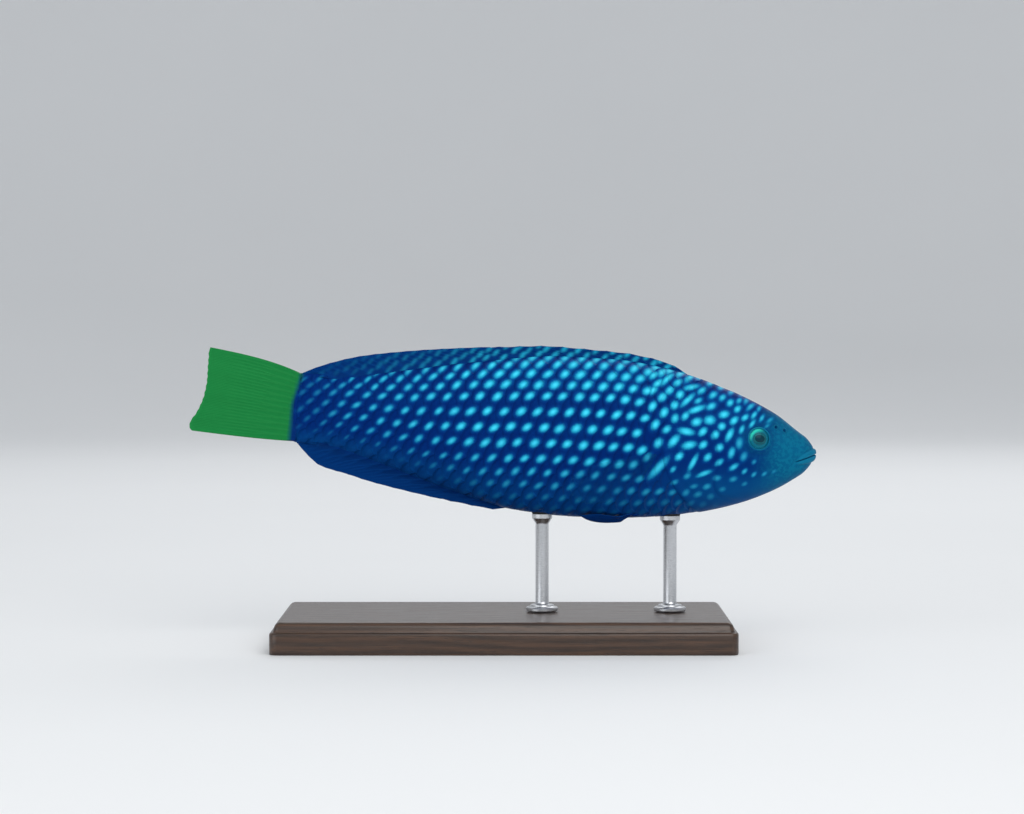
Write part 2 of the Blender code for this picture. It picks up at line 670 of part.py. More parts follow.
def make_stand():
    """A flat board and two short rods, each with a foot on the board and a cup under the belly."""
    length, width, height = BASE_SIZE
    x, y = length / 2, width / 2
    corners = [(sx * x, sy * y, z) for z in (0, height) for sx, sy in ((-1, -1), (1, -1), (1, 1), (-1, 1))]
    faces = [(0, 3, 2, 1), (4, 5, 6, 7), *((k, (k + 1) % 4, (k + 1) % 4 + 4, k + 4) for k in range(4))]
    board = solid("stand_base", corners, faces, "stand_board")
    rounding = board.modifiers.new("rounding", "BEVEL")
    rounding.width = BASE_EDGE
    rounding.segments = 2
    to_world = fish.matrix_basis
    for name, along in zip(("stand_rod_front", "stand_rod_rear"), ROD_ALONG):
        foot = to_world @ place(along, 0, underside(along, 0))
        top = foot.z + ROD_CUP_OVER
        stations = (
            (BASE_SIZE[2] + SEAM, ROD_FOOT_RADIUS),
            (BASE_SIZE[2] + SEAM + ROD_FOOT_HEIGHT, ROD_FOOT_RADIUS),
            (BASE_SIZE[2] + SEAM + ROD_FOOT_HEIGHT + ROD_FOOT_EASE, ROD_RADIUS),
            (top - ROD_CUP_HEIGHT, ROD_RADIUS),
            (top - ROD_CUP_HEIGHT + ROD_CUP_EASE, ROD_CUP_RADIUS),
            (top, ROD_CUP_RADIUS),
        )
        rings = [
            [
                (foot.x + r * math.cos(2 * math.pi * k / ROD_SPOKES), r * math.sin(2 * math.pi * k / ROD_SPOKES), z)
                for k in range(ROD_SPOKES)
            ]
            for z, r in stations
        ]
        rod = loft(name, rings, "stand_steel")
        carve(rod, "DIFFERENCE", [body_shape("clearance", SEAM)])


for old in list(bpy.data.objects):
    bpy.data.objects.remove(old)

fish = bpy.data.objects.new("fish_pose", None)
fish.location = (0, 0, FISH_LIFT)
fish.rotation_euler = (0, NOSE_DOWN, 0)
bpy.context.scene.collection.objects.link(fish)
bpy.context.view_layer.update()

shape = body_shape("body_whole")
make_head(shape)
make_trunk_and_stalk(shape)
make_median_fin("dorsal_fin", DORSAL_BASE, dorsal_edge, back_line, DORSAL_REACH, DORSAL_SPINES, DORSAL_RAYS)
make_median_fin("anal_fin", ANAL_BASE, anal_edge, belly_line, ANAL_REACH, ANAL_SPINES, ANAL_RAYS)
make_caudal_fin()
make_pectoral_fin("pectoral_fin_left", 1)
make_pectoral_fin("pectoral_fin_right", -1)
make_pelvic_fin("pelvic_fin_left", 1)
make_pelvic_fin("pelvic_fin_right", -1)
make_stand()
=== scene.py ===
"""A yellowtail wrasse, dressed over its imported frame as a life-size museum model on a display stand.

Metres, +Z up. The fish faces +X and its right side is towards -Y. It is shaped level and then tipped nose
down about the point that the frame uses. "Along" is the distance behind the tip of the snout, "height" is
above the line from the snout to the middle of the tail's root, and "arc" is measured over the skin of one
flank, upwards from the middle row of spots. Lists of stations hold pairs, in percent of the standard length
or in millimetres.
"""

import logging
import math
from collections.abc import Callable, Sequence
from dataclasses import dataclass
from enum import Enum

import bpy
import numpy as np
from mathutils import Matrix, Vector

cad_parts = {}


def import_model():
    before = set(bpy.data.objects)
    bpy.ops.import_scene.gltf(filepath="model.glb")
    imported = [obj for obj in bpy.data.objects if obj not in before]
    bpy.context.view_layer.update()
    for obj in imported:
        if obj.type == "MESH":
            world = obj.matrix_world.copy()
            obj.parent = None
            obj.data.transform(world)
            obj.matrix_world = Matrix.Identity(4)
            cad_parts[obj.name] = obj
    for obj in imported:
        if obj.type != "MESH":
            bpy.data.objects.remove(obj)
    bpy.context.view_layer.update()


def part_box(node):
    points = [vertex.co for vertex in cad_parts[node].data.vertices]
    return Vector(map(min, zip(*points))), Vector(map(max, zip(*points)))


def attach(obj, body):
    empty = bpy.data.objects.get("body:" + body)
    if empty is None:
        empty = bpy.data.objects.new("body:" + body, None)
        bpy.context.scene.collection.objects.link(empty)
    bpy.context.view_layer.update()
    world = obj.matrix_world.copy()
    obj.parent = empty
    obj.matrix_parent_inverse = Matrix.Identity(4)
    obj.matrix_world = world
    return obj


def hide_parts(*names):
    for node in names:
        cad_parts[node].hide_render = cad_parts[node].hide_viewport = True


log = logging.getLogger("wrasse")

Array = np.ndarray
Stations = Sequence[tuple[float, float]]
Colour = tuple[float, float, float]
Inputs = dict[int | str, object]
Material = bpy.types.Material
Object = bpy.types.Object
Socket = bpy.types.NodeSocket

TURN = 2 * math.pi
TINY = 1e-12  # keeps a way without length from being divided by 0
MM = 0.001
STANDARD_LENGTH = 0.1494
CAUDAL_LENGTH = 0.0294
PERCENT = STANDARD_LENGTH / 100
MIDDLE = (STANDARD_LENGTH + CAUDAL_LENGTH + 1.2 * MM) / 2
NOSE_DOWN = math.radians(4.9)
FISH_LIFT = 0.0625


class Side(Enum):
    """A flank of the fish, by the sign of Y."""

    LEFT = 1
    RIGHT = -1

    @property
    def word(self) -> str:
        """The side's name as the frame spells it."""
        return self.name.lower()

    @property
    def mirror(self) -> Array:
        """What turns a place of the left flank into one of this flank."""
        return np.array([1, self.value, 1])


def ease(value: Array | float, start: float, end: float) -> Array:
    """A smooth step.

    Args:
        value: what is measured.
        start: where the step leaves 0.
        end: where it reaches 1; it may be below start.

    Returns:
        0 to 1 for each value.
    """
    share = np.clip((np.asarray(value, float) - start) / (end - start), 0, 1)
    return share * share * (3 - 2 * share)


def hump(distance: Array, width: float | Array) -> Array:
    """A soft bump that is 1 at no distance and nearly 0 at two widths."""
    return np.exp(-((distance / width) ** 2))


def mix(first: float, second: float, share: Array | float) -> Array | float:
    """The value that share of the way from first to second."""
    return first + (second - first) * share


def run_up(steps: Array) -> Array:
    """The length run at each point of a line, or of every row of lines, from the lengths of its steps."""
    return np.concatenate([np.zeros_like(steps[..., :1]), np.cumsum(steps, axis=-1)], axis=-1)


class Outline:
    """A smooth line through a few stations, which never swings past them."""

    def __init__(self, stations: Stations, unit: float = PERCENT) -> None:
        """Keeps the stations and their slopes.

        Args:
            stations: pairs of place and value.
            unit: what one unit of both is in metres.
        """
        self.x, self.y = (np.array(column, float) * unit for column in zip(*stations))
        slope = np.diff(self.y) / np.diff(self.x)
        before, after = slope[:-1], slope[1:]
        total = np.where(before + after == 0, 1.0, before + after)
        inner = np.where(before * after > 0, 2 * before * after / total, 0.0)
        self.slope = np.concatenate([slope[:1], inner, slope[-1:]])

    def __call__(self, x: Array | float) -> Array:
        """The value at each place."""
        x = np.clip(np.asarray(x, float), self.x[0], self.x[-1])
        i = np.clip(np.searchsorted(self.x, x, side="right") - 1, 0, len(self.x) - 2)
        step = self.x[i + 1] - self.x[i]
        t = (x - self.x[i]) / step
        return (
            (1 + 2 * t) * (1 - t) ** 2 * self.y[i]
            + t * (1 - t) ** 2 * step * self.slope[i]
            + t * t * (3 - 2 * t) * self.y[i + 1]
            + t * t * (t - 1) * step * self.slope[i + 1]
        )


class Seam:
    """A smooth line drawn over the flank from top to bottom, such as the edge of the gill cover."""

    POINTS = 90
    BATCH = 20000  # places measured at a time, to spare memory

    def __init__(self, stations: Stations, unit: float = PERCENT) -> None:
        """Rounds the corners of a drawn line.

        Args:
            stations: pairs of along and height.
            unit: what one unit of both is in metres.
        """
        corners = np.array(stations, float) * unit
        run = run_up(np.hypot(*np.diff(corners, axis=0).T))
        at = np.linspace(0, run[-1], self.POINTS)
        lines = [Outline(list(zip(run, corners[:, axis])), unit=1.0) for axis in (0, 1)]
        self.points = np.column_stack([line(at) for line in lines])

    def behind(self, along: Array, height: Array) -> Array:
        """How far each place is behind the line.

        Args:
            along: distance of each place behind the snout.
            height: height of each place.

        Returns:
            The distances, which are negative in front of the line.
        """
        start, end = self.points[:-1], self.points[1:]
        run = end - start
        places = np.column_stack([np.ravel(along), np.ravel(height)])
        found = np.empty(len(places))
        for first in range(0, len(places), self.BATCH):
            part = places[first : first + self.BATCH, None, :] - start[None]
            share = np.clip((part * run).sum(2) / (run**2).sum(1), 0, 1)
            off = part - share[..., None] * run
            gap = np.hypot(off[..., 0], off[..., 1])
            nearest = gap.argmin(1)
            pick = np.arange(len(nearest))
            side = run[nearest, 0] * part[pick, nearest, 1] - run[nearest, 1] * part[pick, nearest, 0]
            found[first : first + self.BATCH] = np.where(side > 0, 1, -1) * gap[pick, nearest]
        return found.reshape(np.shape(along))


def posed(points: Array) -> Array:
    """Tips the level fish nose down and lifts it to its place over the stand.

    Args:
        points: places of the level fish, the last axis being x, y and z.

    Returns:
        The places in the frame.
    """
    cos, sin = math.cos(NOSE_DOWN), math.sin(NOSE_DOWN)
    x, y, z = points[..., 0], points[..., 1], points[..., 2]
    return np.stack([x * cos + z * sin, y, z * cos - x * sin + FISH_LIFT], axis=-1)


@dataclass
class Body:
    """The form of the fish without fins, the same as in the solids."""

    back: Stations = (
        (0, 1.2), (3.7, 3.3), (8.8, 6.6), (15.8, 9.6), (23.7, 12.2), (31.6, 13.8), (39.4, 14.5), (50.9, 14.2),
        (62.2, 12.6), (73.6, 10.5), (81.3, 8.9), (88.8, 7.5), (94.4, 6.9), (100, 6.8),
    )
    belly: Stations = (
        (0, -2.3), (3.0, -4.7), (7.6, -7.9), (14.0, -11.0), (21.5, -13.4), (29.0, -15.0), (40.4, -16.2),
        (48.2, -16.5), (56.9, -16.1), (65.4, -14.4), (73.2, -12.4), (81.0, -10.2), (88.4, -8.2), (94.4, -7.1),
        (100, -6.8),
    )
    half_width: Stations = (
        (0, 1.4), (3.4, 2.6), (7.4, 3.5), (11.8, 4.4), (16.7, 5.3), (23.4, 6.3), (31.5, 7.1), (40.2, 7.4),
        (50.2, 7.2), (60.2, 6.5), (70.3, 5.5), (80.3, 4.1), (88.4, 3.0), (94.4, 2.1), (100, 1.3),
    )
    back_fullness: float = 2.05
    belly_fullness: float = 2.25
    snout_start: float = 0.45 * PERCENT
    snout_round: float = 2.6 * PERCENT

    def __post_init__(self) -> None:
        """Makes the three outlines callable."""
        self.back_line, self.belly_line = Outline(self.back), Outline(self.belly)
        self.half_width_line = Outline(self.half_width)

    def round_off(self, along: Array | float) -> Array:
        """How full the body is near the tip of the snout, from 0 at the tip to 1."""
        into = np.clip((along - self.snout_start) / self.snout_round, 0, 1)
        return np.sqrt(1 - (1 - into) ** 2)

    def section(self, along: Array | float) -> tuple[Array, Array, Array, Array]:
        """The oval of the body at each station.

        Args:
            along: distance behind the snout.

        Returns:
            Half width, height where it is widest, the back's height above that and the belly's depth below.
        """
        top, bottom = self.back_line(along), self.belly_line(along)
        level = (top + bottom) / 2
        full = self.round_off(along)
        return self.half_width_line(along) * full, level, (top - level) * full, (level - bottom) * full

    def point(self, along: Array, angle: Array) -> Array:
        """Places on the skin.

        Args:
            along: distance behind the snout.
            angle: 0 at the middle of the back, half pi on the left flank, pi under the belly.

        Returns:
            x, y and z of the level fish on the last axis.
        """
        width, level, rise, fall = self.section(along)
        up, out = np.cos(angle), np.sin(angle)
        fullness = np.where(up > 0, self.back_fullness, self.belly_fullness)
        side = np.sign(out) * np.abs(out) ** (2 / fullness) * width
        height = level + np.sign(up) * np.abs(up) ** (2 / fullness) * np.where(up > 0, rise, fall)
        return np.stack(np.broadcast_arrays(MIDDLE - along, side, height), axis=-1)

    def normal(self, along: Array, angle: Array) -> Array:
        """The ways the skin faces, as unit vectors of the level fish."""
        step, turn = 0.1 * MM, 0.004
        rearward = self.point(along + step, angle) - self.point(along - step, angle)
        downward = self.point(along, angle + turn) - self.point(along, angle - turn)
        way = np.cross(downward, rearward)
        return way / np.maximum(np.linalg.norm(way, axis=-1, keepdims=True), TINY)

    def angle_at_height(self, along: float, height: float, samples: int = 2000) -> float:
        """The angle at which the left flank has that height, read from a fan of samples."""
        angle = np.linspace(0, math.pi, samples)
        return float(np.interp(-height, -self.point(along, angle)[:, 2], angle))

    def flank(self, along: Array, height: Array) -> Array:
        """Half width of the body at each station and height."""
        width, level, rise, fall = self.section(along)
        above = height > level
        share = np.clip(np.where(above, (height - level) / rise, (level - height) / fall), 0, 1)
        fullness = np.where(above, self.back_fullness, self.belly_fullness)
        return width * np.maximum(1 - share**fullness, 0) ** (1 / fullness)

    @staticmethod
    def tail_share(along: Array, height: Array) -> Array:
        """How far each place has turned from the body's colour to the tail fin's."""
        forward = 1.7 * MM * np.clip((height - 3 * MM) / (7.5 * MM), -0.3, 1.1)
        return ease(along, 149.6 * MM - forward, 151.2 * MM - forward)

    def underside(self, along: Array, side: Array) -> Array:
        """Height of the belly's skin at each station and distance from the middle."""
        width, level, _, fall = self.section(along)
        share = np.clip(np.abs(side) / width, 0, 1)
        return level - fall * (1 - share**self.belly_fullness) ** (1 / self.belly_fullness)


@dataclass
class SpotRows:
    """The rows of pale spots, one spot to a scale, staggered by half a spacing from row to row."""

    middle_row: Stations = (
        (0, -3.4), (22, -3.0), (34, -0.35), (57, 1.5), (79, 0.65), (96, -0.65), (117, -1.75), (137, -0.8),
        (150, -0.3),
    )
    row_spacing: Stations = (
        (0, 2.6), (12, 3.0), (22, 3.7), (34, 3.9), (57, 4.6), (79, 4.5), (96, 4.45), (117, 3.85), (137, 3.0),
        (150, 2.4),
    )
    spot_spacing: Stations = ((0, 3.2), (20, 3.5), (45, 3.8), (58, 4.2), (75, 4.6), (100, 4.65), (151, 4.6))
    marked_spot: float = 92.7 * MM  # a spot of the middle row, from which the columns are counted
    squeeze: tuple[float, float] = (0.85, 0.76)  # how much closer the rows are near belly and back
    squeeze_from: float = 2.0
    rows: range = range(-10, 11)
    seed: int = 7

    def __post_init__(self) -> None:
        """Works out the columns and draws how each spot varies."""
        self.line, self.spacing = Outline(self.middle_row, MM), Outline(self.row_spacing, MM)
        self.pitch = Outline(self.spot_spacing, MM)
        self.at = np.linspace(0, self.spot_spacing[-1][0] * MM, 1200)
        count = run_up(np.diff(self.at) / self.pitch((self.at[1:] + self.at[:-1]) / 2))
        self.count = count - np.interp(self.marked_spot, self.at, count)
        self.draw = np.random.default_rng(self.seed)

    def arc_of_row(self, row: Array, along: Array) -> Array:
        """Arc of each row's middle line at a station."""
        near = np.clip(row, -self.squeeze_from, self.squeeze_from)
        far = np.asarray(row, float) - near
        return (near + far * self.squeeze_at(row)) * self.spacing(along)

    def squeeze_at(self, row: Array) -> Array:
        """How much closer than in the middle each row lies to its neighbours."""
        low, high = self.squeeze
        return np.where(row > self.squeeze_from, high, np.where(row < -self.squeeze_from, low, 1.0))

    def along_of_column(self, column: Array) -> Array:
        """Distance behind the snout of each column."""
        return np.interp(column, self.count, self.at)

    def lattice(self, first: float, last: float) -> tuple[Array, Array]:
        """The spots between two stations.

        Args:
            first: where the first column may be.
            last: where the last column may be.

        Returns:
            The row and the place along of each spot.
        """
        rows, places = [], []
        columns = np.arange(math.ceil(self.count[0]), math.floor(self.count[-1]) + 1)
        for row in self.rows:
            along = self.along_of_column(columns + 0.5 * (row % 2))
            keep = (along >= first) & (along <= last)
            places.append(along[keep])
            rows.append(np.full(int(keep.sum()), row))
        return np.concatenate(rows), np.concatenate(places)


@dataclass
class FlankChart:
    """The flank unrolled: it turns along and arc into places on the body, and back."""

    body: Body
    rows: SpotRows
    stations: int = 420
    turns: int = 260

    def __post_init__(self) -> None:
        """Measures the arc over the skin at every station."""
        self.first, self.last = self.body.snout_start + 0.3 * MM, STANDARD_LENGTH
        along = np.linspace(self.first, self.last, self.stations)
        angle = np.linspace(0, math.pi, self.turns)
        places = self.body.point(*np.meshgrid(along, angle, indexing="ij"))
        self.run = run_up(np.linalg.norm(np.diff(places, axis=1), axis=-1))
        self.total = self.run[:, -1]
        lines = zip(-self.rows.line(along), -places[..., 2], self.run)
        self.above = np.array([np.interp(row, heights, run) for row, heights, run in lines])
        share = np.linspace(0, 1, self.turns)
        self.angle = np.array([np.interp(share * run[-1], run, angle) for run in self.run])
        self.along = along

    def _sample(self, table: Array, along: Array, share: Array) -> Array:
        """A table's value at each station and share of its second axis, between its entries."""
        i = np.clip((along - self.first) / (self.last - self.first), 0, 1) * (table.shape[0] - 1)
        j = np.clip(share, 0, 1) * (table.shape[1] - 1)
        i0 = np.minimum(i.astype(int), table.shape[0] - 2)
        j0 = np.minimum(j.astype(int), table.shape[1] - 2)
        a, b = i - i0, j - j0
        upper = table[i0, j0] * (1 - b) + table[i0, j0 + 1] * b
        lower = table[i0 + 1, j0] * (1 - b) + table[i0 + 1, j0 + 1] * b
        return upper * (1 - a) + lower * a

    def reach(self, along: Array) -> tuple[Array, Array]:
        """The arc from the middle row up to the back, and down to the middle of the belly."""
        above = np.interp(along, self.along, self.above)
        return above, np.interp(along, self.along, self.total) - above

    def angle_at(self, along: Array, arc: Array) -> Array:
        """The body's angle at each place of the left flank."""
        above, below = self.reach(along)
        return self._sample(self.angle, along, (above - arc) / (above + below))

    def arc_at(self, along: Array, angle: Array) -> Array:
        """The arc of each place, on either flank alike."""
        above, _ = self.reach(along)
        return above - self._sample(self.run, along, np.abs(angle) / math.pi)

    def height_at(self, along: Array, arc: Array) -> Array:
        """Height of each place of the flank."""
        return self.body.point(along, self.angle_at(along, arc))[..., 2]

    def sites(self, first: float, last: float) -> tuple[Array, Array, Array]:
        """Middles of the scales between two stations, as row, along and arc of each."""
        row, along = self.rows.lattice(first, last)
        arc = self.rows.arc_of_row(row, along)
        above, below = self.reach(along)
        keep = (arc < above - 0.3 * MM) & (arc > -below + 0.5 * MM)
        return row[keep], along[keep], arc[keep]


@dataclass
class Spots:
    """Every pale spot of one flank as a slanted oval: place, size, slant and how bright it is.

    Behind the gill cover the spots keep to their rows. On the head they are listed one by one, each with its
    place, half length and half height in millimetres, its slant in degrees and its brightness.
    """

    chart: FlankChart
    half_length: float = 1.42 * MM
    half_height: float = 0.96 * MM
    slant: float = 38.0
    rows_from: float = 49.5 * MM
    low_rows_from: float = 27 * MM
    low_rows_under: float = -13.5 * MM
    wander: float = 0.2 * MM
    head_scale: tuple[float, float] = (1.08, 0.84)  # of the head's half lengths and half heights
    head: Sequence[tuple[float, ...]] = (
        (48.9, 18.1, 1.3, 0.9, 38, 0.95), (45, 17.4, 2.3, 0.8, 48, 0.95), (41.3, 19.1, 1.4, 0.8, 44, 0.8),
        (38.5, 18.3, 1.6, 0.8, 44, 0.8), (35.6, 18.4, 1.2, 0.9, 50, 0.75), (32.3, 17.2, 1.3, 0.8, 48, 0.75),
        (29.2, 16.2, 1.1, 0.7, 48, 0.65), (26.3, 15, 1, 0.6, 50, 0.55), (23.2, 14.9, 0.9, 0.5, 50, 0.4),
        (48.8, 13.8, 1.3, 0.9, 50, 0.95), (47.6, 15.9, 1.5, 0.9, 45, 0.95), (44.1, 14.2, 1.3, 1, 50, 0.95),
        (41.9, 16.6, 1.3, 0.9, 42, 0.9), (38, 15.6, 2, 0.8, 24, 0.85), (34.9, 14.9, 1.3, 0.8, 45, 0.8),
        (31.6, 13.9, 1.3, 0.8, 48, 0.8), (28.9, 13.3, 1.1, 0.7, 50, 0.75), (26.6, 12, 1.1, 0.8, 52, 0.9),
        (48.7, 9.3, 1.4, 1.1, 60, 1), (46.1, 12.1, 1.3, 1.1, 50, 1), (42.5, 10.1, 1.2, 1.1, 60, 1),
        (41.1, 13.2, 1.2, 1.1, 55, 1), (38.9, 11.8, 2.4, 0.8, 50, 0.92), (35.8, 11.9, 1.1, 0.7, 40, 0.75),
        (36.2, 9.4, 2.4, 0.9, 30, 1), (32, 10.6, 1.4, 0.9, 42, 0.85), (28.2, 8.6, 1.5, 1, 38, 1),
        (24.4, 10.4, 1.1, 0.8, 50, 0.95), (24, 12.8, 0.9, 0.6, 50, 0.6), (21.9, 12.9, 0.8, 0.6, 50, 0.45),
        (45.3, 7.8, 1.4, 1.15, 60, 1), (42.1, 6.4, 1.2, 1.1, 60, 0.9), (39.2, 7.3, 1.3, 0.95, 55, 0.9),
        (35.9, 5.9, 1.45, 1.2, 35, 1), (32.2, 6.7, 1.5, 1.3, 30, 0.92), (28.6, 5.2, 1.2, 1, 50, 0.95),
        (25.2, 7.1, 1.4, 0.9, 50, 1), (22.1, 8.2, 1.1, 0.8, 45, 0.9), (20.6, 11.4, 1.3, 0.6, 45, 0.6),
        (18.1, 11, 0.8, 0.5, 55, 0.5), (19.5, 9.1, 1.1, 0.65, 55, 0.8), (17.2, 8.4, 1, 0.55, 60, 0.6),
        (19.9, 6.6, 1.2, 0.6, 55, 0.8), (14.8, 8, 1.1, 0.5, 42, 0.35), (15.6, 6.3, 0.9, 0.45, 38, 0.35),
        (47.5, 4.2, 1.4, 1.15, 60, 1), (44.2, 3.1, 1.3, 1, 45, 0.9), (38.6, 3, 2, 1.15, 2, 1),
        (33.9, 3.3, 1.4, 1, 50, 1), (30.3, 2.7, 1.3, 1, 55, 1), (26.2, 3, 2, 0.9, 67, 0.95),
        (22.8, 4.8, 1.2, 0.75, 68, 0.75), (46.2, -0.9, 1.3, 1.15, 55, 0.9), (41.9, 0, 2, 1.15, 55, 1),
        (37.5, -0.8, 1.9, 1.15, 25, 1), (33.5, -0.4, 1.3, 1, 50, 1), (28.8, -0.8, 1.3, 1, 50, 0.9),
        (23.2, 0.9, 1.4, 1.1, 80, 0.5), (25.2, -2, 1.5, 0.95, 72, 0.75), (21.6, -2.8, 1.2, 1, 65, 0.42),
        (48.9, -5.2, 1.3, 1, 50, 0.75), (40, -4.2, 1.3, 1, 50, 1), (35.9, -5.6, 2.4, 0.8, 67, 0.92),
        (31.9, -3.8, 1.3, 0.9, 55, 0.9), (28.5, -5, 1.4, 0.75, 50, 0.8), (24.2, -6, 1.4, 0.75, 45, 0.75),
        (18.5, -4.1, 0.7, 0.6, 50, 0.32), (45.5, -7.9, 3.6, 1.15, 54, 0.75), (41.4, -8, 1, 0.7, 50, 0.65),
        (37.2, -9.6, 1.1, 0.8, 45, 0.4), (32.5, -8.5, 2.2, 0.7, 35, 0.82), (21, -7, 0.85, 0.65, 50, 0.6),
        (18.2, -7.7, 0.8, 0.6, 50, 0.45), (15.2, -7.3, 0.8, 0.55, 45, 0.35),
        (12.5, -6.4, 0.7, 0.5, 45, 0.2), (40.6, -11.6, 1.1, 0.7, 35, 0.35), (35, -12.4, 1.1, 0.7, 30, 0.3),
        (31.3, -12.2, 1.2, 0.8, 40, 0.4), (28.7, -9.5, 1.2, 0.8, 35, 0.38), (24, -9.5, 1.1, 0.8, 35, 0.36),
        (20.6, -10.6, 0.8, 0.65, 35, 0.25), (26.8, -12.6, 1, 0.7, 35, 0.22), (48.3, 20.4, 1.3, 1, 42, 0.85),
        (44.3, 19.8, 1.3, 1, 44, 0.85), (46.5, 19.15, 1.3, 0.95, 44, 0.9),
    )

    def __post_init__(self) -> None:
        """Sets out the rows and the head's spots, and lets those of the rows vary."""
        _, along, arc = self.chart.sites(self.low_rows_from, STANDARD_LENGTH)
        height = self.chart.height_at(along, arc)
        keep = (along > self.rows_from) | (height < self.low_rows_under)
        self.along, self.arc, self.height_above = along[keep], arc[keep], height[keep]
        draw = self.chart.rows.draw
        self.along = self.along + draw.uniform(-1, 1, len(self.along)) * self.wander
        self.arc = self.arc + draw.uniform(-1, 1, len(self.along)) * self.wander
        self._shape(draw)
        self._dim(draw)
        self._place_head()
        # The sizes are as seen from the side, so a sloping skin stretches the spots.
        self.squash = self._steepness()

    def _shape(self, draw: np.random.Generator) -> None:
        """Sizes and slants in the rows: smaller and thinner towards tail and belly."""
        rear = ease(self.along, 88 * MM, 118 * MM)
        stalk = ease(self.along, 116 * MM, 142 * MM)
        low = ease(self._depth(), 0.2, 0.55)
        above, _ = self.chart.reach(self.along)
        high = ease(self.arc / above, 0.45, 0.9)
        vary = draw.uniform(-1, 1, (3, len(low)))
        long = 1 - 0.09 * rear - 0.02 * stalk - 0.13 * low
        high_share = 1 - 0.22 * rear - 0.18 * stalk - 0.23 * low - 0.15 * high
        self.length = self.half_length * long * (1 + 0.08 * vary[0])
        self.half = self.half_height * high_share * (1 + 0.08 * vary[1])
        self.turn = np.radians(self.slant + 4 * low + 3 * rear + 4 * high + 6 * vary[2])

    def _depth(self) -> Array:
        """How far down towards the belly's edge each spot is, from 0 to 1."""
        return np.clip(self.height_above / self.chart.body.belly_line(self.along), 0, 1)

    def _dim(self, draw: np.random.Generator) -> None:
        """Brightness in the rows: fading towards the belly, partly the spots' own dimming and partly painted
        shade, and towards the tail and the middle of the back.
        """
        above, _ = self.chart.reach(self.along)
        # The fade towards the belly is partly painted shade under the body.
        low = ease(self._depth(), 0.08, 1.06 - 0.2 * ease(self.along, 85 * MM, 130 * MM))
        rear = 1 - 0.34 * ease(self.along, 92 * MM, 124 * MM)
        rear = rear * (1 - 0.82 * ease(self.along, 123 * MM, 150 * MM))
        high = ease(self.arc / above, 0.82, 1.0)
        self.strength = draw.uniform(0.86, 1.0, len(low)) * (1 - low) * rear * (1 - 0.25 * high)

    def _place_head(self) -> None:
        """Adds the head's spots."""
        table = np.array(self.head)
        along, height, length, half = (table[:, column] * MM for column in range(4))
        body, samples = self.chart.body, 400
        angle = np.array([body.angle_at_height(*place, samples) for place in zip(along, height)])
        added = {
            "along": along,
            "arc": self.chart.arc_at(along, angle),
            "length": self.head_scale[0] * length,
            "half": self.head_scale[1] * half,
            "turn": np.radians(table[:, 4]),
            "strength": table[:, 5],
        }
        for name, values in added.items():
            setattr(self, name, np.concatenate([getattr(self, name), values]))

    def _steepness(self) -> Array:
        """How steep the skin is at each spot: 1 where it stands upright."""
        step = 0.3 * MM
        upper, lower = (self.chart.height_at(self.along, self.arc + way) for way in (step, -step))
        return np.clip((upper - lower) / (2 * step), 0.55, 1)

    def local(self, index: int | Array, along: Array, arc: Array) -> tuple[Array, Array]:
        """Places in the frame of a spot, in which its edge is the unit circle.

        Args:
            index: which spot, or one for each place.
            along: distance of each place behind the snout.
            arc: arc of each place.

        Returns:
            The two coordinates of each place.
        """
        forward, up = self.along[index] - along, (arc - self.arc[index]) * self.squash[index]
        cos, sin = np.cos(self.turn[index]), np.sin(self.turn[index])
        long, high = forward * cos + up * sin, up * cos - forward * sin
        return long / self.length[index], high / self.half[index]

    def nearest(self, along: Array, arc: Array) -> tuple[Array, Array]:
        """How near each place is to a spot.

        Args:
            along: distance of each place behind the snout.
            arc: arc of each place.

        Returns:
            The distance to the nearest spot's middle, with that spot's edge at 1, and that spot's strength.
        """
        best, strength = np.full(np.shape(along), 3.0), np.zeros(np.shape(along))
        reach = 6 * MM  # no spot is longer
        for index in range(len(self.along)):
            beside = np.abs(along - self.along[index]) < reach
            near = np.flatnonzero(beside & (np.abs(arc - self.arc[index]) < reach))
            distance = np.hypot(*self.local(index, along[near], arc[near]))
            closer = distance < best[near]
            best[near[closer]] = distance[closer]
            strength[near[closer]] = self.strength[index]
        return best, strength

    def around(self, along: Array, arc: Array, count: int) -> Array:
        """The spots that lie nearest to each place.

        Args:
            along: distance of each place behind the snout.
            arc: arc of each place.
            count: how many spots to find.

        Returns:
            Their numbers, one row for each place.
        """
        gap = np.hypot(self.along - along[:, None], self.arc - arc[:, None])
        return np.argsort(gap - (self.length + self.half) / 2, axis=1)[:, :count]


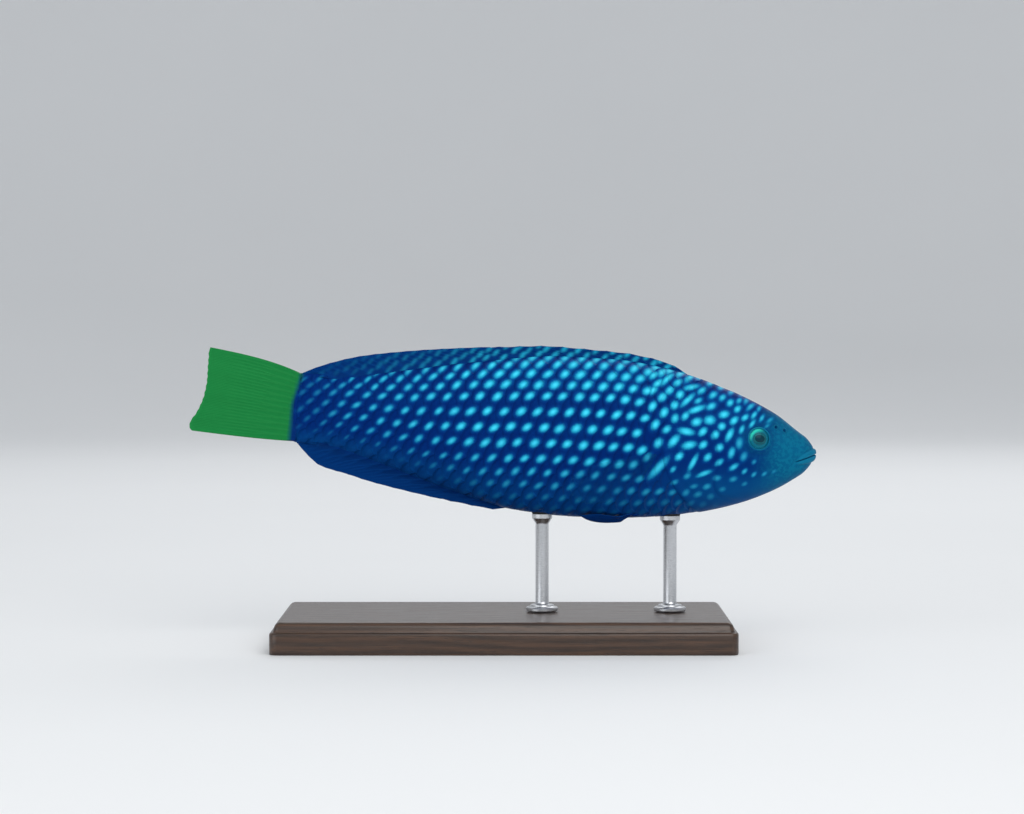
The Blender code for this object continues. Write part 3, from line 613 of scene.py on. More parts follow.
class Recipe:
    """The nodes of one material, written step by step."""

    def __init__(self, name: str) -> None:
        """Starts an empty material."""
        self.material = bpy.data.materials.new(name)
        self.material.use_nodes = True
        self.tree = self.material.node_tree
        self.tree.nodes.clear()

    def add(self, kind: str, inputs: Inputs | None = None, **settings: object) -> bpy.types.Node:
        """Adds a node.

        Args:
            kind: Blender's name of the node.
            inputs: values or sockets for its inputs, by name or number.
            settings: the node's own choices.

        Returns:
            The node.
        """
        node = self.tree.nodes.new(kind)
        for name, value in settings.items():
            setattr(node, name, value)
        for name, value in (inputs or {}).items():
            socket = node.inputs[name]
            if isinstance(value, Socket):
                self.tree.links.new(value, socket)
            elif isinstance(value, tuple) and len(value) == 3 and socket.type == "RGBA":
                socket.default_value = (*value, 1.0)
            else:
                socket.default_value = value
        return node

    def mark(self, name: str) -> Socket:
        """A number that the mesh carries at its points."""
        return self.add("ShaderNodeAttribute", attribute_name=name).outputs["Fac"]

    def mark_vector(self, name: str) -> Socket:
        """A vector that the mesh carries at its points."""
        return self.add("ShaderNodeAttribute", attribute_name=name).outputs["Vector"]

    def sums(self, operation: str, *values: object, clamp: bool = False) -> Socket:
        """One step of arithmetic on numbers or sockets."""
        inputs = dict(enumerate(values))
        return self.add("ShaderNodeMath", inputs, operation=operation, use_clamp=clamp).outputs[0]

    def times(self, first: object, second: object, clamp: bool = False) -> Socket:
        """One number times another."""
        return self.sums("MULTIPLY", first, second, clamp=clamp)

    def ramp(self, value: object, start: float, end: float, low: float = 0.0, high: float = 1.0) -> Socket:
        """A smooth step from low to high as value goes from start to end."""
        inputs = {"Value": value, "From Min": start, "From Max": end, "To Min": low, "To Max": high}
        return self.add("ShaderNodeMapRange", inputs, interpolation_type="SMOOTHSTEP").outputs["Result"]

    def blend(self, share: object, first: object, second: object) -> Socket:
        """A colour between two colours."""
        return self.add("ShaderNodeMix", {0: share, 6: first, 7: second}, data_type="RGBA").outputs[2]

    def places(self, stretch: tuple[float, float, float] = (1, 1, 1)) -> Socket:
        """The object's own coordinates, stretched."""
        place = self.add("ShaderNodeTexCoord").outputs["Object"]
        return self.add("ShaderNodeMapping", {"Vector": place, "Scale": stretch}).outputs[0]

    def noise(self, grain: float, detail: float = 3.0, where: object = None) -> Socket:
        """A cloudy number about one half.

        Args:
            grain: size of the clouds in metres.
            detail: how many finer layers it has.
            where: coordinates, or None for the object's own.

        Returns:
            The number.
        """
        inputs = {"Vector": where or self.places(), "Scale": 1 / grain, "Detail": detail, "Roughness": 0.55}
        return self.add("ShaderNodeTexNoise", inputs).outputs["Fac"]

    def bump(self, height: object, depth: float, strength: float = 1.0, under: object = None) -> Socket:
        """A relief for the shader's normal, depth metres high, over another relief if there is one."""
        inputs = {"Height": height, "Distance": depth, "Strength": strength}
        if under is not None:
            inputs["Normal"] = under
        return self.add("ShaderNodeBump", inputs).outputs[0]

    def done(self, **inputs: object) -> Material:
        """Ends the recipe in one shader.

        Args:
            inputs: the shader's values or sockets, by name with underscores for spaces.

        Returns:
            The finished material.
        """
        named = {name.replace("_", " "): value for name, value in inputs.items()}
        named["IOR"] = named.get("IOR", 1.45)
        shader = self.add("ShaderNodeBsdfPrincipled", named)
        self.add("ShaderNodeOutputMaterial", {"Surface": shader.outputs[0]})
        return self.material


SHEEN = (0.12, 0.62, 1.0)  # the blue cast of the skin's gloss
LEAF_SHEEN = (0.2, 1.0, 0.45)  # the green cast of the tail fin's


@dataclass(frozen=True)
class SpottedFinish:
    """Navy skin with pale blue spots, a teal face and a soft gloss, for the skin and the scales alike."""

    deep: Colour = (0.0003, 0.0165, 0.142)
    navy: Colour = (0.0006, 0.046, 0.228)
    # painted light from above, over the upper front flank
    back: Colour = (0.001, 0.105, 0.340)
    spot: Colour = (0.020, 0.46, 0.68)
    spot_core: Colour = (0.060, 0.72, 0.95)
    face: Colour = (0.003, 0.132, 0.245)
    lip: Colour = (0.005, 0.152, 0.275)
    # paler under the head, the fish's own colour; also painted light over the lower belly
    throat: Colour = (0.001, 0.066, 0.220)
    tail: Colour = (0.012, 0.196, 0.045)
    seats: str = "abcde"  # each scale carries the places of five spots, the skin only the first

    def material(self) -> Material:
        """Makes the finish."""
        r = Recipe("spotted_skin_finish")
        spot, halo, nearest = self._spots(r)
        clouds = r.noise(3.2 * MM, 4.0)
        light = r.sums("ADD", halo, r.ramp(clouds, 0.3, 0.8, -0.12, 0.22), clamp=True)
        body = r.blend(light, self.deep, self.navy)
        # painted light from above: paler round the spots towards the top of the front flank
        body = r.blend(r.times(r.times(r.mark("back"), halo), 0.85), body, self.back)
        # paler under the head, and painted light over the lower belly in place of light from below
        body = r.blend(r.times(r.mark("throat"), 0.85), body, self.throat)
        freckle = r.ramp(r.noise(0.9 * MM, 2.0), 0.42, 0.62, 0.72, 1.1)
        face = r.times(r.mark("face"), freckle, clamp=True)
        body = r.blend(face, body, self.face)
        body = r.blend(r.mark("lip"), body, self.lip)
        pale = r.blend(r.ramp(nearest, 0.85, 0.0), self.spot, self.spot_core)
        colour = r.blend(spot, body, pale)
        tail = r.mark("tail")
        colour = r.blend(tail, colour, self.tail)
        colour = r.blend(r.mark("shade"), colour, self.deep)
        rings = self._scale_relief(r)
        pores = r.bump(r.noise(0.35 * MM, 3.0), 0.03 * MM, 0.35, under=rings)
        gloss = r.ramp(r.noise(1.6 * MM, 2.0), 0.3, 0.7, 0.40, 0.54)
        return r.done(Base_Color=colour, Roughness=gloss, Normal=pores, Specular_IOR_Level=0.28,
                      Specular_Tint=r.blend(tail, SHEEN, LEAF_SHEEN), IOR=1.3)

    def _spots(self, r: Recipe) -> tuple[Socket, ...]:
        """How much each place is spot and halo, and how near the nearest spot is."""
        ragged = r.sums("MULTIPLY_ADD", r.noise(0.45 * MM, 2.0), 0.36, -0.18)
        spot, halo, nearest = 0.0, 0.0, 9.0
        for letter in self.seats:
            at = r.mark_vector(f"spot_{letter}")
            strength = r.add("ShaderNodeSeparateXYZ", {0: at}).outputs[2]
            level = r.add("ShaderNodeVectorMath", {0: at, 1: (1, 1, 0)}, operation="MULTIPLY").outputs[0]
            distance = r.add("ShaderNodeVectorMath", {0: level}, operation="LENGTH").outputs["Value"]
            edge = r.sums("ADD", distance, ragged)
            here = r.times(r.ramp(edge, 1.44, 0.50), strength)
            round_it = r.times(r.ramp(edge, 2.1, 0.95), r.ramp(strength, 0.0, 0.5, 0.3, 1.0))
            spot, halo = r.sums("MAXIMUM", spot, here), r.sums("MAXIMUM", halo, round_it)
            nearest = r.sums("MINIMUM", nearest, distance)
        return spot, halo, nearest

    def _scale_relief(self, r: Recipe) -> Socket:
        """Growth rings and fine rays on each scale, which carries its own coordinates."""
        at = r.add("ShaderNodeSeparateXYZ", {0: r.mark_vector("scale_at")}).outputs
        across = r.times(at[1], at[1])
        ring = r.sums("ADD", at[0], r.times(across, -0.42))
        wave = r.sums("SINE", r.times(ring, 95.0))
        ray = r.sums("SINE", r.times(at[1], 34.0))
        lines = r.sums("MULTIPLY_ADD", ray, 0.5, r.times(wave, 0.5))
        height = r.times(lines, at[2])
        return r.bump(height, 0.015 * MM, 0.4)


@dataclass(frozen=True)
class FinFinish:
    """A fin: membrane between rays, clear or not, with pale streaks where the body's pattern runs on."""

    name: str
    membrane: Colour
    ray: Colour
    margin: Colour
    # root: the body's own colour over the tail fin's root and the pectoral fins' fleshy base, and painted
    # shade at the base of the anal and pelvic fins
    root: Colour
    streak: Colour = (0.30, 0.70, 0.84)
    streak_share: float = 0.0
    clear_membrane: float = 1.0
    clear_ray: float = 1.0
    roughness: float = 0.45
    relief: float = 0.4
    joint: float = 0.55 * MM  # length of a ray's segments
    sheen: Colour = SHEEN

    def material(self) -> Material:
        """Makes the finish."""
        r = Recipe(self.name)
        out, ridge = r.mark("out"), r.mark("ridge")
        clouds = r.ramp(r.noise(2.4 * MM, 3.0), 0.3, 0.75, -0.12, 0.2)
        colour = r.blend(r.sums("ADD", ridge, clouds, clamp=True), self.membrane, self.ray)
        colour = r.blend(r.times(r.mark("streak"), self.streak_share), colour, self.streak)
        colour = r.blend(r.ramp(r.mark("edge"), 0.35, 0.9), colour, self.margin)
        # the root: the body's own colour on some fins, painted shade at the base of others
        colour = r.blend(r.mark("root"), colour, self.root)
        joints = r.sums("SINE", r.times(r.mark("reach"), TURN / self.joint))
        joints = r.times(r.ramp(joints, 0.75, 1.0, 0.0, -1.0), r.times(ridge, out))
        relief = r.bump(r.sums("ADD", joints, r.noise(0.4 * MM, 3.0)), 0.02 * MM, self.relief)
        inputs: Inputs = {"Base_Color": colour, "Normal": relief, "Roughness": self.roughness}
        if self.clear_membrane < 1:
            clear = r.sums("MULTIPLY_ADD", ridge, self.clear_ray - self.clear_membrane, self.clear_membrane)
            inputs["Alpha"] = r.sums("MAXIMUM", clear, r.mark("root"), clamp=True)
        return r.done(**inputs, Specular_IOR_Level=0.3, Specular_Tint=self.sheen, IOR=1.3)


@dataclass(frozen=True)
class EyeFinish:
    """Dark pupil in a thin ring, teal iris and a pale green crescent up behind."""

    pupil: Colour = (0.003, 0.032, 0.050)
    iris: Colour = (0.012, 0.085, 0.105)
    iris_dark: Colour = (0.003, 0.075, 0.110)
    ring: Colour = (0.010, 0.165, 0.180)
    crescent: Colour = (0.030, 0.620, 0.480)
    under: Colour = (0.002, 0.140, 0.215)

    def material(self) -> Material:
        """Makes the finish."""
        r = Recipe("eye_finish")
        off, turn = r.mark("off"), r.mark("turn")
        round_it = {
            0: r.times(r.sums("SINE", turn), 9.0),
            1: r.times(r.sums("COSINE", turn), 9.0),
            2: r.times(off, 1.6),
        }
        fibres = r.add("ShaderNodeCombineXYZ", round_it).outputs[0]
        grain = r.add("ShaderNodeTexNoise", {"Vector": fibres, "Scale": 1.6, "Detail": 4.0}).outputs["Fac"]
        colour = r.blend(r.ramp(grain, 0.35, 0.68), self.iris_dark, self.iris)
        high = r.mark("high")
        band = r.sums("ADD", off, r.sums("MULTIPLY_ADD", grain, 0.12, -0.06))
        colour = r.blend(r.ramp(band, 0.52, 0.70), colour, self.under)
        crescent = r.times(r.ramp(band, 0.50, 0.78), r.ramp(high, 0.15, 0.72))
        colour = r.blend(crescent, colour, self.crescent)
        ring = r.times(r.ramp(off, 0.50, 0.45), r.ramp(off, 0.37, 0.42))
        colour = r.blend(r.times(ring, r.ramp(high, -0.6, 0.5, 0.35, 0.9)), colour, self.ring)
        colour = r.blend(r.ramp(off, 0.43, 0.38), colour, self.pupil)
        relief = r.bump(grain, 0.05 * MM, 0.3)
        return r.done(Base_Color=colour, Normal=relief, Roughness=0.35, Specular_IOR_Level=0.2,
                      Specular_Tint=SHEEN, Coat_Weight=0.14, Coat_Roughness=0.03)


@dataclass(frozen=True)
class EyeRimFinish:
    """The fleshy ring round the eye, pale green above and behind and darker in front."""

    pale: Colour = (0.004, 0.155, 0.250)
    dark: Colour = (0.002, 0.105, 0.215)

    def material(self) -> Material:
        """Makes the finish."""
        r = Recipe("eye_rim_finish")
        clouds = r.ramp(r.noise(0.8 * MM, 2.0), 0.3, 0.7, -0.15, 0.15)
        share = r.sums("ADD", r.ramp(r.mark("high"), -0.3, 0.9), clouds, clamp=True)
        relief = r.bump(r.noise(0.3 * MM, 2.0), 0.03 * MM, 0.4)
        colour = r.blend(share, self.dark, self.pale)
        return r.done(Base_Color=colour, Roughness=0.4, Normal=relief, Specular_IOR_Level=0.3,
                      Specular_Tint=SHEEN)


@dataclass(frozen=True)
class WoodFinish:
    """Dark stained, satin varnished wood with its grain along the board."""

    dark: Colour = (0.018, 0.009, 0.005)
    light: Colour = (0.085, 0.040, 0.020)
    ring: float = 4.2 * MM  # from one year's ring to the next

    def material(self) -> Material:
        """Makes the finish."""
        r = Recipe("board_finish")
        bend = r.noise(60 * MM, 2.0, r.places((0.35, 1, 1)))
        across = r.add("ShaderNodeSeparateXYZ", {0: r.places()}).outputs
        shift = r.sums("MULTIPLY_ADD", bend, 26 * MM, r.sums("MULTIPLY_ADD", across[2], 1.8, across[1]))
        rings = r.sums("SINE", r.times(shift, TURN / self.ring))
        fibre = r.noise(0.5 * MM, 5.0, r.places((0.035, 1, 1)))
        share = r.sums("MULTIPLY_ADD", rings, 0.22, r.sums("MULTIPLY_ADD", fibre, 1.5, -0.3), clamp=True)
        pores = r.ramp(r.noise(0.22 * MM, 2.0, r.places((0.045, 1, 1))), 0.60, 0.68)
        colour = r.blend(share, self.dark, self.light)
        colour = r.blend(r.times(pores, 0.8), colour, self.dark)
        relief = r.bump(r.sums("MULTIPLY_ADD", pores, -1.0, r.times(fibre, 0.5)), 0.05 * MM, 0.5)
        gloss = r.ramp(fibre, 0.3, 0.7, 0.34, 0.46)
        return r.done(Base_Color=colour, Roughness=gloss, Normal=relief, Coat_Weight=0.35,
                      Coat_Roughness=0.14)


@dataclass(frozen=True)
class SteelFinish:
    """Brushed steel, with its fine marks running round the rods."""

    light: Colour = (0.60, 0.61, 0.63)
    dark: Colour = (0.51, 0.52, 0.54)

    def material(self) -> Material:
        """Makes the finish."""
        r = Recipe("rod_finish")
        marks = r.noise(0.12 * MM, 4.0, r.places((0.08, 0.08, 1)))
        colour = r.blend(r.ramp(marks, 0.3, 0.7), self.dark, self.light)
        gloss = r.ramp(marks, 0.3, 0.7, 0.26, 0.36)
        relief = r.bump(marks, 0.004 * MM, 0.3)
        return r.done(Base_Color=colour, Metallic=1.0, Roughness=gloss, Normal=relief)


@dataclass(frozen=True)
class FeltFinish:
    """Dark felt, where the rods' cups carry the fish."""

    colour: Colour = (0.012, 0.013, 0.016)
    fluff: Colour = (0.035, 0.036, 0.042)

    def material(self) -> Material:
        """Makes the finish."""
        r = Recipe("felt_finish")
        fibres = r.noise(0.18 * MM, 4.0)
        colour = r.blend(r.ramp(fibres, 0.4, 0.7), self.colour, self.fluff)
        return r.done(Base_Color=colour, Roughness=0.9, Normal=r.bump(fibres, 0.08 * MM, 0.6))


@dataclass(frozen=True)
class FloorFinish:
    """Pale matt paper, hardly mottled."""

    low: Colour = (0.85, 0.86, 0.87)
    high: Colour = (0.88, 0.89, 0.90)

    def material(self) -> Material:
        """Makes the finish."""
        r = Recipe("floor_finish")
        return r.done(Base_Color=r.blend(r.noise(0.25, 2.0), self.low, self.high), Roughness=0.85)


def grid(rows: int, columns: int, round_trip: bool = False, flip: bool = False) -> tuple[Array, Array]:
    """Triangles over a grid of points.

    Args:
        rows: number of points one way.
        columns: number of points the other way, which count fastest.
        round_trip: whether the last column joins the first.
        flip: whether the triangles face the other way.

    Returns:
        The triangles, and the (row, column) of each of their corners, which runs on past the last column.
    """
    i, j = (index.ravel() for index in np.indices((rows - 1, columns if round_trip else columns - 1)))
    corner = np.stack([np.stack([i + a, j + b], -1) for a, b in ((0, 0), (0, 1), (1, 1), (1, 0))], axis=1)
    order = ((0, 2, 1), (0, 3, 2)) if flip else ((0, 1, 2), (0, 2, 3))
    corner = np.concatenate([corner[:, list(turn)] for turn in order])
    return corner[..., 0] * columns + corner[..., 1] % columns, corner.astype(float)


def border(numbers: Array) -> Array:
    """The points round the edge of a grid, in order, from a table of the numbers of all of them."""
    return np.concatenate([numbers[:, 0], numbers[-1, 1:], numbers[-2::-1, -1], numbers[0, -2:0:-1]])


def wall(edge: Array, under: int) -> Array:
    """Triangles between a closed line of points and the same line of the face below.

    Args:
        edge: the numbers of the upper points, in order.
        under: how much higher the numbers of the lower points are.

    Returns:
        The triangles.
    """
    after = np.roll(edge, -1)
    first, second = (edge, edge + under, after + under), (edge, after + under, after)
    return np.concatenate([np.stack(first, 1), np.stack(second, 1)])


class Work:
    """The mesh of one piece while it grows from its parts."""

    def __init__(self, name: str) -> None:
        """Starts an empty mesh."""
        self.name = name
        self.points: list[Array] = []
        self.faces: list[Array] = []
        self.unwrap: list[Array] = []
        self.marks: dict[str, list[Array]] = {}
        self.count = 0

    def add(self, points: Array, faces: Array, corners: Array, marks: dict[str, Array]) -> None:
        """Adds one part.

        Args:
            points: places in the frame, one row each.
            faces: triangles of them.
            corners: place of each triangle's corners on the piece's unwrap.
            marks: numbers or vectors that the points carry.
        """
        self.points.append(points.reshape(-1, 3))
        self.faces.append(faces + self.count)
        self.unwrap.append(corners.reshape(-1, 2))
        for name, values in marks.items():
            table = np.asarray(values, float).reshape(len(self.points[-1]), -1)
            self.marks.setdefault(name, []).append(table)
        self.count += len(self.points[-1])

    def build(self, finish: Material, node_slot: str, sharp: float | None = None) -> Object:
        """Makes the object, which rides on the root body.

        Args:
            finish: its material.
            node_slot: a material slot's name, which is not used.
            sharp: edges that turn more than this, in degrees, stay sharp; None smooths all.

        Returns:
            The object.
        """
        mesh = bpy.data.meshes.new(self.name)
        faces = np.concatenate(self.faces)
        mesh.from_pydata(np.concatenate(self.points).tolist(), [], faces.tolist())
        for name, values in self.marks.items():
            table = np.concatenate(values)
            kind = "FLOAT" if table.shape[1] == 1 else "FLOAT_VECTOR"
            layer = mesh.attributes.new(name, kind, "POINT")
            entry = "value" if kind == "FLOAT" else "vector"
            layer.data.foreach_set(entry, table.astype(np.float32).ravel())
        layer = mesh.uv_layers.new(name="OFBake")
        layer.data.foreach_set("uv", np.concatenate(self.unwrap).astype(np.float32).ravel())
        mesh.shade_smooth()
        if sharp is not None:
            mesh.set_sharp_from_angle(angle=math.radians(sharp))
        mesh.materials.append(finish)
        made = bpy.data.objects.new(self.name, mesh)
        bpy.context.scene.collection.objects.link(made)
        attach(made, "root")
        log.info("%s: %d triangles", self.name, len(faces))
        return made


# the lower part of the gill cover's edge, behind which the scales begin
GILL_FOOT: Stations = (
    (30.3, 0.8), (29.8, -2.8), (28.5, -6.2), (26.4, -9.5), (23.6, -12.2), (20.6, -14.2), (17.5, -20.0),
)


@dataclass
class Skin:
    """One skin over all the flesh, with the mouth, nostrils, eye sockets and gill edge."""

    body: Body
    chart: FlankChart
    spots: Spots
    coat_depth: float = 0.30 * MM
    gill_edge: Stations = ((26.9, 9.5), (28.7, 6.0), *GILL_FOOT)
    coat_edge: Stations = ((13.5, 16.0), (16.5, 10.5), (21.5, 7.9), (26.0, 6.7), (28.7, 5.0), *GILL_FOOT)
    cheek_edge: Stations = (
        (22.6, 4.4), (20.4, 1.2), (19.2, -3.6), (19.6, -7.6), (18.0, -10.0), (15.0, -10.6),
    )
    mouth_end: float = 4.1 * PERCENT
    mouth_heights: tuple[float, float] = (-0.5 * PERCENT, -2.1 * PERCENT)
    lip_height: float = 0.95 * MM
    lip_swell: float = 0.36 * MM
    eye_along: float = 11.8 * PERCENT
    eye_height: float = 1.7 * PERCENT
    nostrils: Sequence[tuple[float, float]] = ((7.0, 3.6), (8.7, 4.1))
    spokes: int = 224
    gill_rise: float = 0.24 * MM
    gill_groove: float = 0.20 * MM
    cheek_rise: float = 0.16 * MM
    cheek_groove: float = 0.20 * MM
    # shares of width and height, and the reach of each ring over the tail fin's root
    sheath: Sequence[tuple[float, float, float]] = (
        (0.95, 0.99, 0.35), (0.84, 0.98, 0.7), (0.62, 0.97, 1.0), (0.30, 0.96, 1.15), (0.0, 0.95, 1.2))

    def __post_init__(self) -> None:
        """Makes the drawn lines measurable."""
        self.gill, self.coat, self.cheek = Seam(self.gill_edge), Seam(self.coat_edge), Seam(self.cheek_edge)

    def mouth_line(self, along: Array) -> Array:
        """Height of the line between the lips at each station."""
        share = np.clip((along - self.body.snout_start) / (self.mouth_end - self.body.snout_start), 0, 1.15)
        return mix(*self.mouth_heights, share)

    def stations(self) -> Array:
        """Places of the skin's rings, close together on the head."""
        body = self.body
        tip = body.snout_start + body.snout_round * (1 - np.cos(np.linspace(0.012, 1, 34) * math.pi / 2))
        joints = (
            (tip[-1], 24 * MM, 0.28 * MM), (24 * MM, 50 * MM, 0.40 * MM), (50 * MM, 149 * MM, 0.9 * MM),
        )
        parts = [np.linspace(a, b, round((b - a) / step) + 1)[1:] for a, b, step in joints]
        return np.concatenate([tip, *parts, [STANDARD_LENGTH]])

    def angles(self, along: Array) -> Array:
        """Angles of the skin's spokes at each station, gathered about the mouth line on the head.

        Args:
            along: the stations.

        Returns:
            One row of angles for each station.
        """
        _, level, _, fall = self.body.section(along)
        full = self.body.round_off(along)
        down = (level - self.mouth_line(along)) * full * (1 - ease(along, 8 * MM, 26 * MM))
        share = np.clip(down / np.maximum(fall, 1e-6), -0.8, 0.8)
        middle = math.pi / 2 + np.sign(share) * np.arcsin(np.abs(share) ** (self.body.belly_fullness / 2))
        gather = 0.74 * (1 - ease(along, 7 * MM, 28 * MM))
        t = np.linspace(-1, 1, self.spokes // 2 + 1)[None, :]
        spread = (1 - gather[:, None]) * t + gather[:, None] * t**3
        middle = middle[:, None]
        left = middle + spread * np.where(spread > 0, math.pi - middle, middle)
        return np.concatenate([left, -left[:, -2:0:-1]], axis=1)

    def relief(self, along: Array, level_points: Array) -> tuple[Array, dict[str, Array]]:
        """How far the skin stands out of the plain body, and how its parts are coloured.

        Args:
            along: distance of each point behind the snout.
            level_points: its place on the level fish.

        Returns:
            The distances in metres, and the marks "face", "lip", "throat" (paler under the head, and painted
            light over the lower belly), "shade" (painted shade), "tail" and "back" (painted light over the
            upper front flank).
        """
        height = level_points[..., 2]
        behind_coat = self.coat.behind(along, height)
        nape = ease(height, 4 * PERCENT, 6.5 * PERCENT)
        run_in = mix(0.7 * MM, 3.6 * MM, nape)
        out = -self.coat_depth * np.clip(behind_coat / run_in, 0, 1)
        shade = np.zeros(along.shape)

        behind_gill = self.gill.behind(along, height)
        opening = 1 - ease(height, 6 * PERCENT, 8.6 * PERCENT)
        opening = opening * ease(height, -13.4 * PERCENT, -9.0 * PERCENT)
        before, after = hump(behind_gill + 0.55 * MM, 1.1 * MM), hump(behind_gill + 0.2 * MM, 0.5 * MM)
        flap = np.where(behind_gill < 0, before, after)
        out += opening * self.gill_rise * flap
        out -= opening * 0.16 * MM * hump(behind_gill + 2.6 * MM, 0.9 * MM) * (behind_gill < 0)
        out -= opening * self.gill_groove * hump(behind_gill - 0.75 * MM, 0.55 * MM)
        shade = np.maximum(shade, opening * 0.30 * hump(behind_gill - 0.55 * MM, 0.42 * MM))

        behind_cheek = self.cheek.behind(along, height)
        cheek = ease(height, -11.4 * PERCENT, -8 * PERCENT)
        cheek = cheek * (1 - ease(height, 1.5 * PERCENT, 4.2 * PERCENT))
        out += cheek * self.cheek_rise * hump(behind_cheek + 0.9 * MM, 1.0 * MM)
        out -= cheek * self.cheek_groove * hump(behind_cheek - 0.1 * MM, 0.45 * MM)
        shade = np.maximum(shade, cheek * 0.35 * hump(behind_cheek - 0.1 * MM, 0.4 * MM))

        mouth_out, lip, slit = self._mouth(along, height)
        eye_out, eye_near = self._eyes(level_points)
        out += mouth_out + eye_out
        pits, pit_shade = self._nostrils(level_points)
        out += pits
        shade = np.maximum.reduce([shade, slit, pit_shade])
        low = ease(-height, 1.5 * MM, 14 * MM)
        face = (1 - ease(along, 9 * MM, 21 * MM)) * (1 - 0.35 * low)
        face = np.maximum(face, 0.55 * eye_near)
        # Paler under the head, the fish's own colour; the next line adds painted light over the lower belly,
        # in place of light from below.
        throat = (1 - ease(along, 20 * MM, 58 * MM)) * ease(-height, 4 * MM, 13 * MM)
        throat = np.maximum(throat, 0.45 * ease(height / self.body.belly_line(along), 0.4, 0.85))
        tail = self.body.tail_share(along, height)
        # Painted light from above: paler towards the back, fading out towards the tail.
        back = ease(height / self.body.back_line(along), 0.35, 0.95)
        back = back * (1 - 0.8 * ease(along, 75 * MM, 135 * MM))
        return out, {"face": face, "lip": lip, "throat": throat, "shade": shade, "tail": tail, "back": back}

    def _mouth(self, along: Array, height: Array) -> tuple[Array, Array, Array]:
        """Swell of the lips, how much each place is lip, and the painted shade of the slit between them."""
        gap = height - self.mouth_line(along)
        share = np.clip((along - self.body.snout_start) / (self.mouth_end - self.body.snout_start), 0, 1.4)
        thick = self.lip_height * (1 - 0.5 * np.minimum(share, 1) ** 2.2)
        here = 1 - ease(share, 0.84, 1.14)
        ball = np.sqrt(np.maximum(1 - ((np.abs(gap) - 0.98 * thick) / (1.02 * thick)) ** 2, 0))
        upper = np.where(gap > 0, 1.0, 0.92)
        swell = self.lip_swell * upper * ball * (1 - 0.45 * np.minimum(share, 1) ** 2)
        crease = 0.13 * MM * hump(np.abs(gap) - 2.2 * thick, 0.35 * MM)
        corner = 0.25 * MM * hump(np.hypot(gap, (share - 1.05) * 5.4 * MM), 0.8 * MM)
        slit = hump(gap, 0.11 * MM)
        lip = here * ease(2.5 * thick - np.abs(gap), 0, 0.9 * MM)
        return here * (swell - crease - 0.60 * MM * slit) - corner, lip, here * 0.9 * hump(gap, 0.14 * MM)

    def eye_seat(self, side: Side) -> tuple[Array, Array]:
        """The point on the skin over the middle of an eye and the way it looks, on the level fish."""
        return self.seat(self.eye_along, self.eye_height, side)

    def seat(self, along: float, height: float, side: Side) -> tuple[Array, Array]:
        """The point of one flank at a station and height and the way it faces, on the level fish."""
        place = np.array(along), np.array(self.body.angle_at_height(along, height))
        return self.body.point(*place) * side.mirror, self.body.normal(*place) * side.mirror

    def _eyes(self, points: Array) -> tuple[Array, Array]:
        """The sockets with their raised edges, and how near each place is to an eye."""
        out, near = np.zeros(points.shape[:-1]), np.zeros(points.shape[:-1])
        for side in Side:
            seat, way = self.eye_seat(side)
            off = points - seat
            away = (off * way).sum(-1)
            gap = np.linalg.norm(off - away[..., None] * way, axis=-1)
            this_side = points[..., 1] * side.value > 0
            rim = 0.26 * MM * hump(gap - 3.55 * MM, 0.6 * MM)
            moat = 0.12 * MM * hump(gap - 4.9 * MM, 0.7 * MM)
            hollow = 2.4 * MM * (1 - ease(gap, 2.75 * MM, 3.3 * MM))
            out += np.where(this_side, rim - moat - hollow, 0)
            near = np.maximum(near, np.where(this_side, hump(gap, 5.4 * MM), 0))
        return out, near

    def nostril_seats(self) -> list[tuple[Array, Array]]:
        """Middle and outward way of each nostril, on the level fish."""
        places = np.array(self.nostrils) * PERCENT
        return [self.seat(*place, side) for side in Side for place in places]

    def _nostrils(self, points: Array) -> tuple[Array, Array]:
        """The pits of the nostrils in their low collars, and their shade."""
        out, shade = np.zeros(points.shape[:-1]), np.zeros(points.shape[:-1])
        for seat, _ in self.nostril_seats():
            gap = np.linalg.norm(points - seat, axis=-1)
            out += 0.16 * MM * hump(gap - 0.72 * MM, 0.34 * MM) - 0.62 * MM * hump(gap, 0.42 * MM)
            shade = np.maximum(shade, 0.95 * hump(gap, 0.46 * MM))
        return out, shade

    def build(self, finish: Material) -> None:
        """Makes the skin and sets it in the place of the flesh nodes.

        Args:
            finish: the spotted material.
        """
        along = self.stations()
        angle = self.angles(along)
        along = np.repeat(along[:, None], self.spokes, axis=1)
        level = self.body.point(along, angle)
        normal = self.body.normal(along, angle)
        out, marks = self.relief(along, level)
        points = level + normal * out[..., None]
        arc = self.chart.arc_at(along, angle)
        distance, strength = self.spots.nearest(along.ravel(), arc.ravel())
        strength = strength * (1 - marks["lip"].ravel())
        marks["spot_a"] = np.column_stack([distance, np.zeros(len(distance)), strength])
        for letter in SpottedFinish.seats[1:]:
            marks[f"spot_{letter}"] = np.tile([9.0, 9.0, 0.0], (len(distance), 1))
        marks["scale_at"] = np.zeros((len(distance), 3))
        points, marks = self._close(points, marks)
        faces, corners = grid(len(points) // self.spokes, self.spokes, round_trip=True, flip=True)
        rings = len(points) // self.spokes
        run = np.concatenate([[0], np.cumsum(np.linalg.norm(
            np.diff(points.reshape(rings, self.spokes, 3)[:, 0], axis=0), axis=-1))])
        run = run[corners[..., 0].astype(int)] / run[-1]
        unwrap = np.stack([run, corners[..., 1] / self.spokes], axis=-1)
        work = Work("skin")
        work.add(posed(points), faces, unwrap * 0.998 + 0.001, marks)
        made = work.build(finish, "spotted_skin")
        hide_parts("head", "gill_cover_left", "gill_cover_right", "trunk", "tail_stalk")

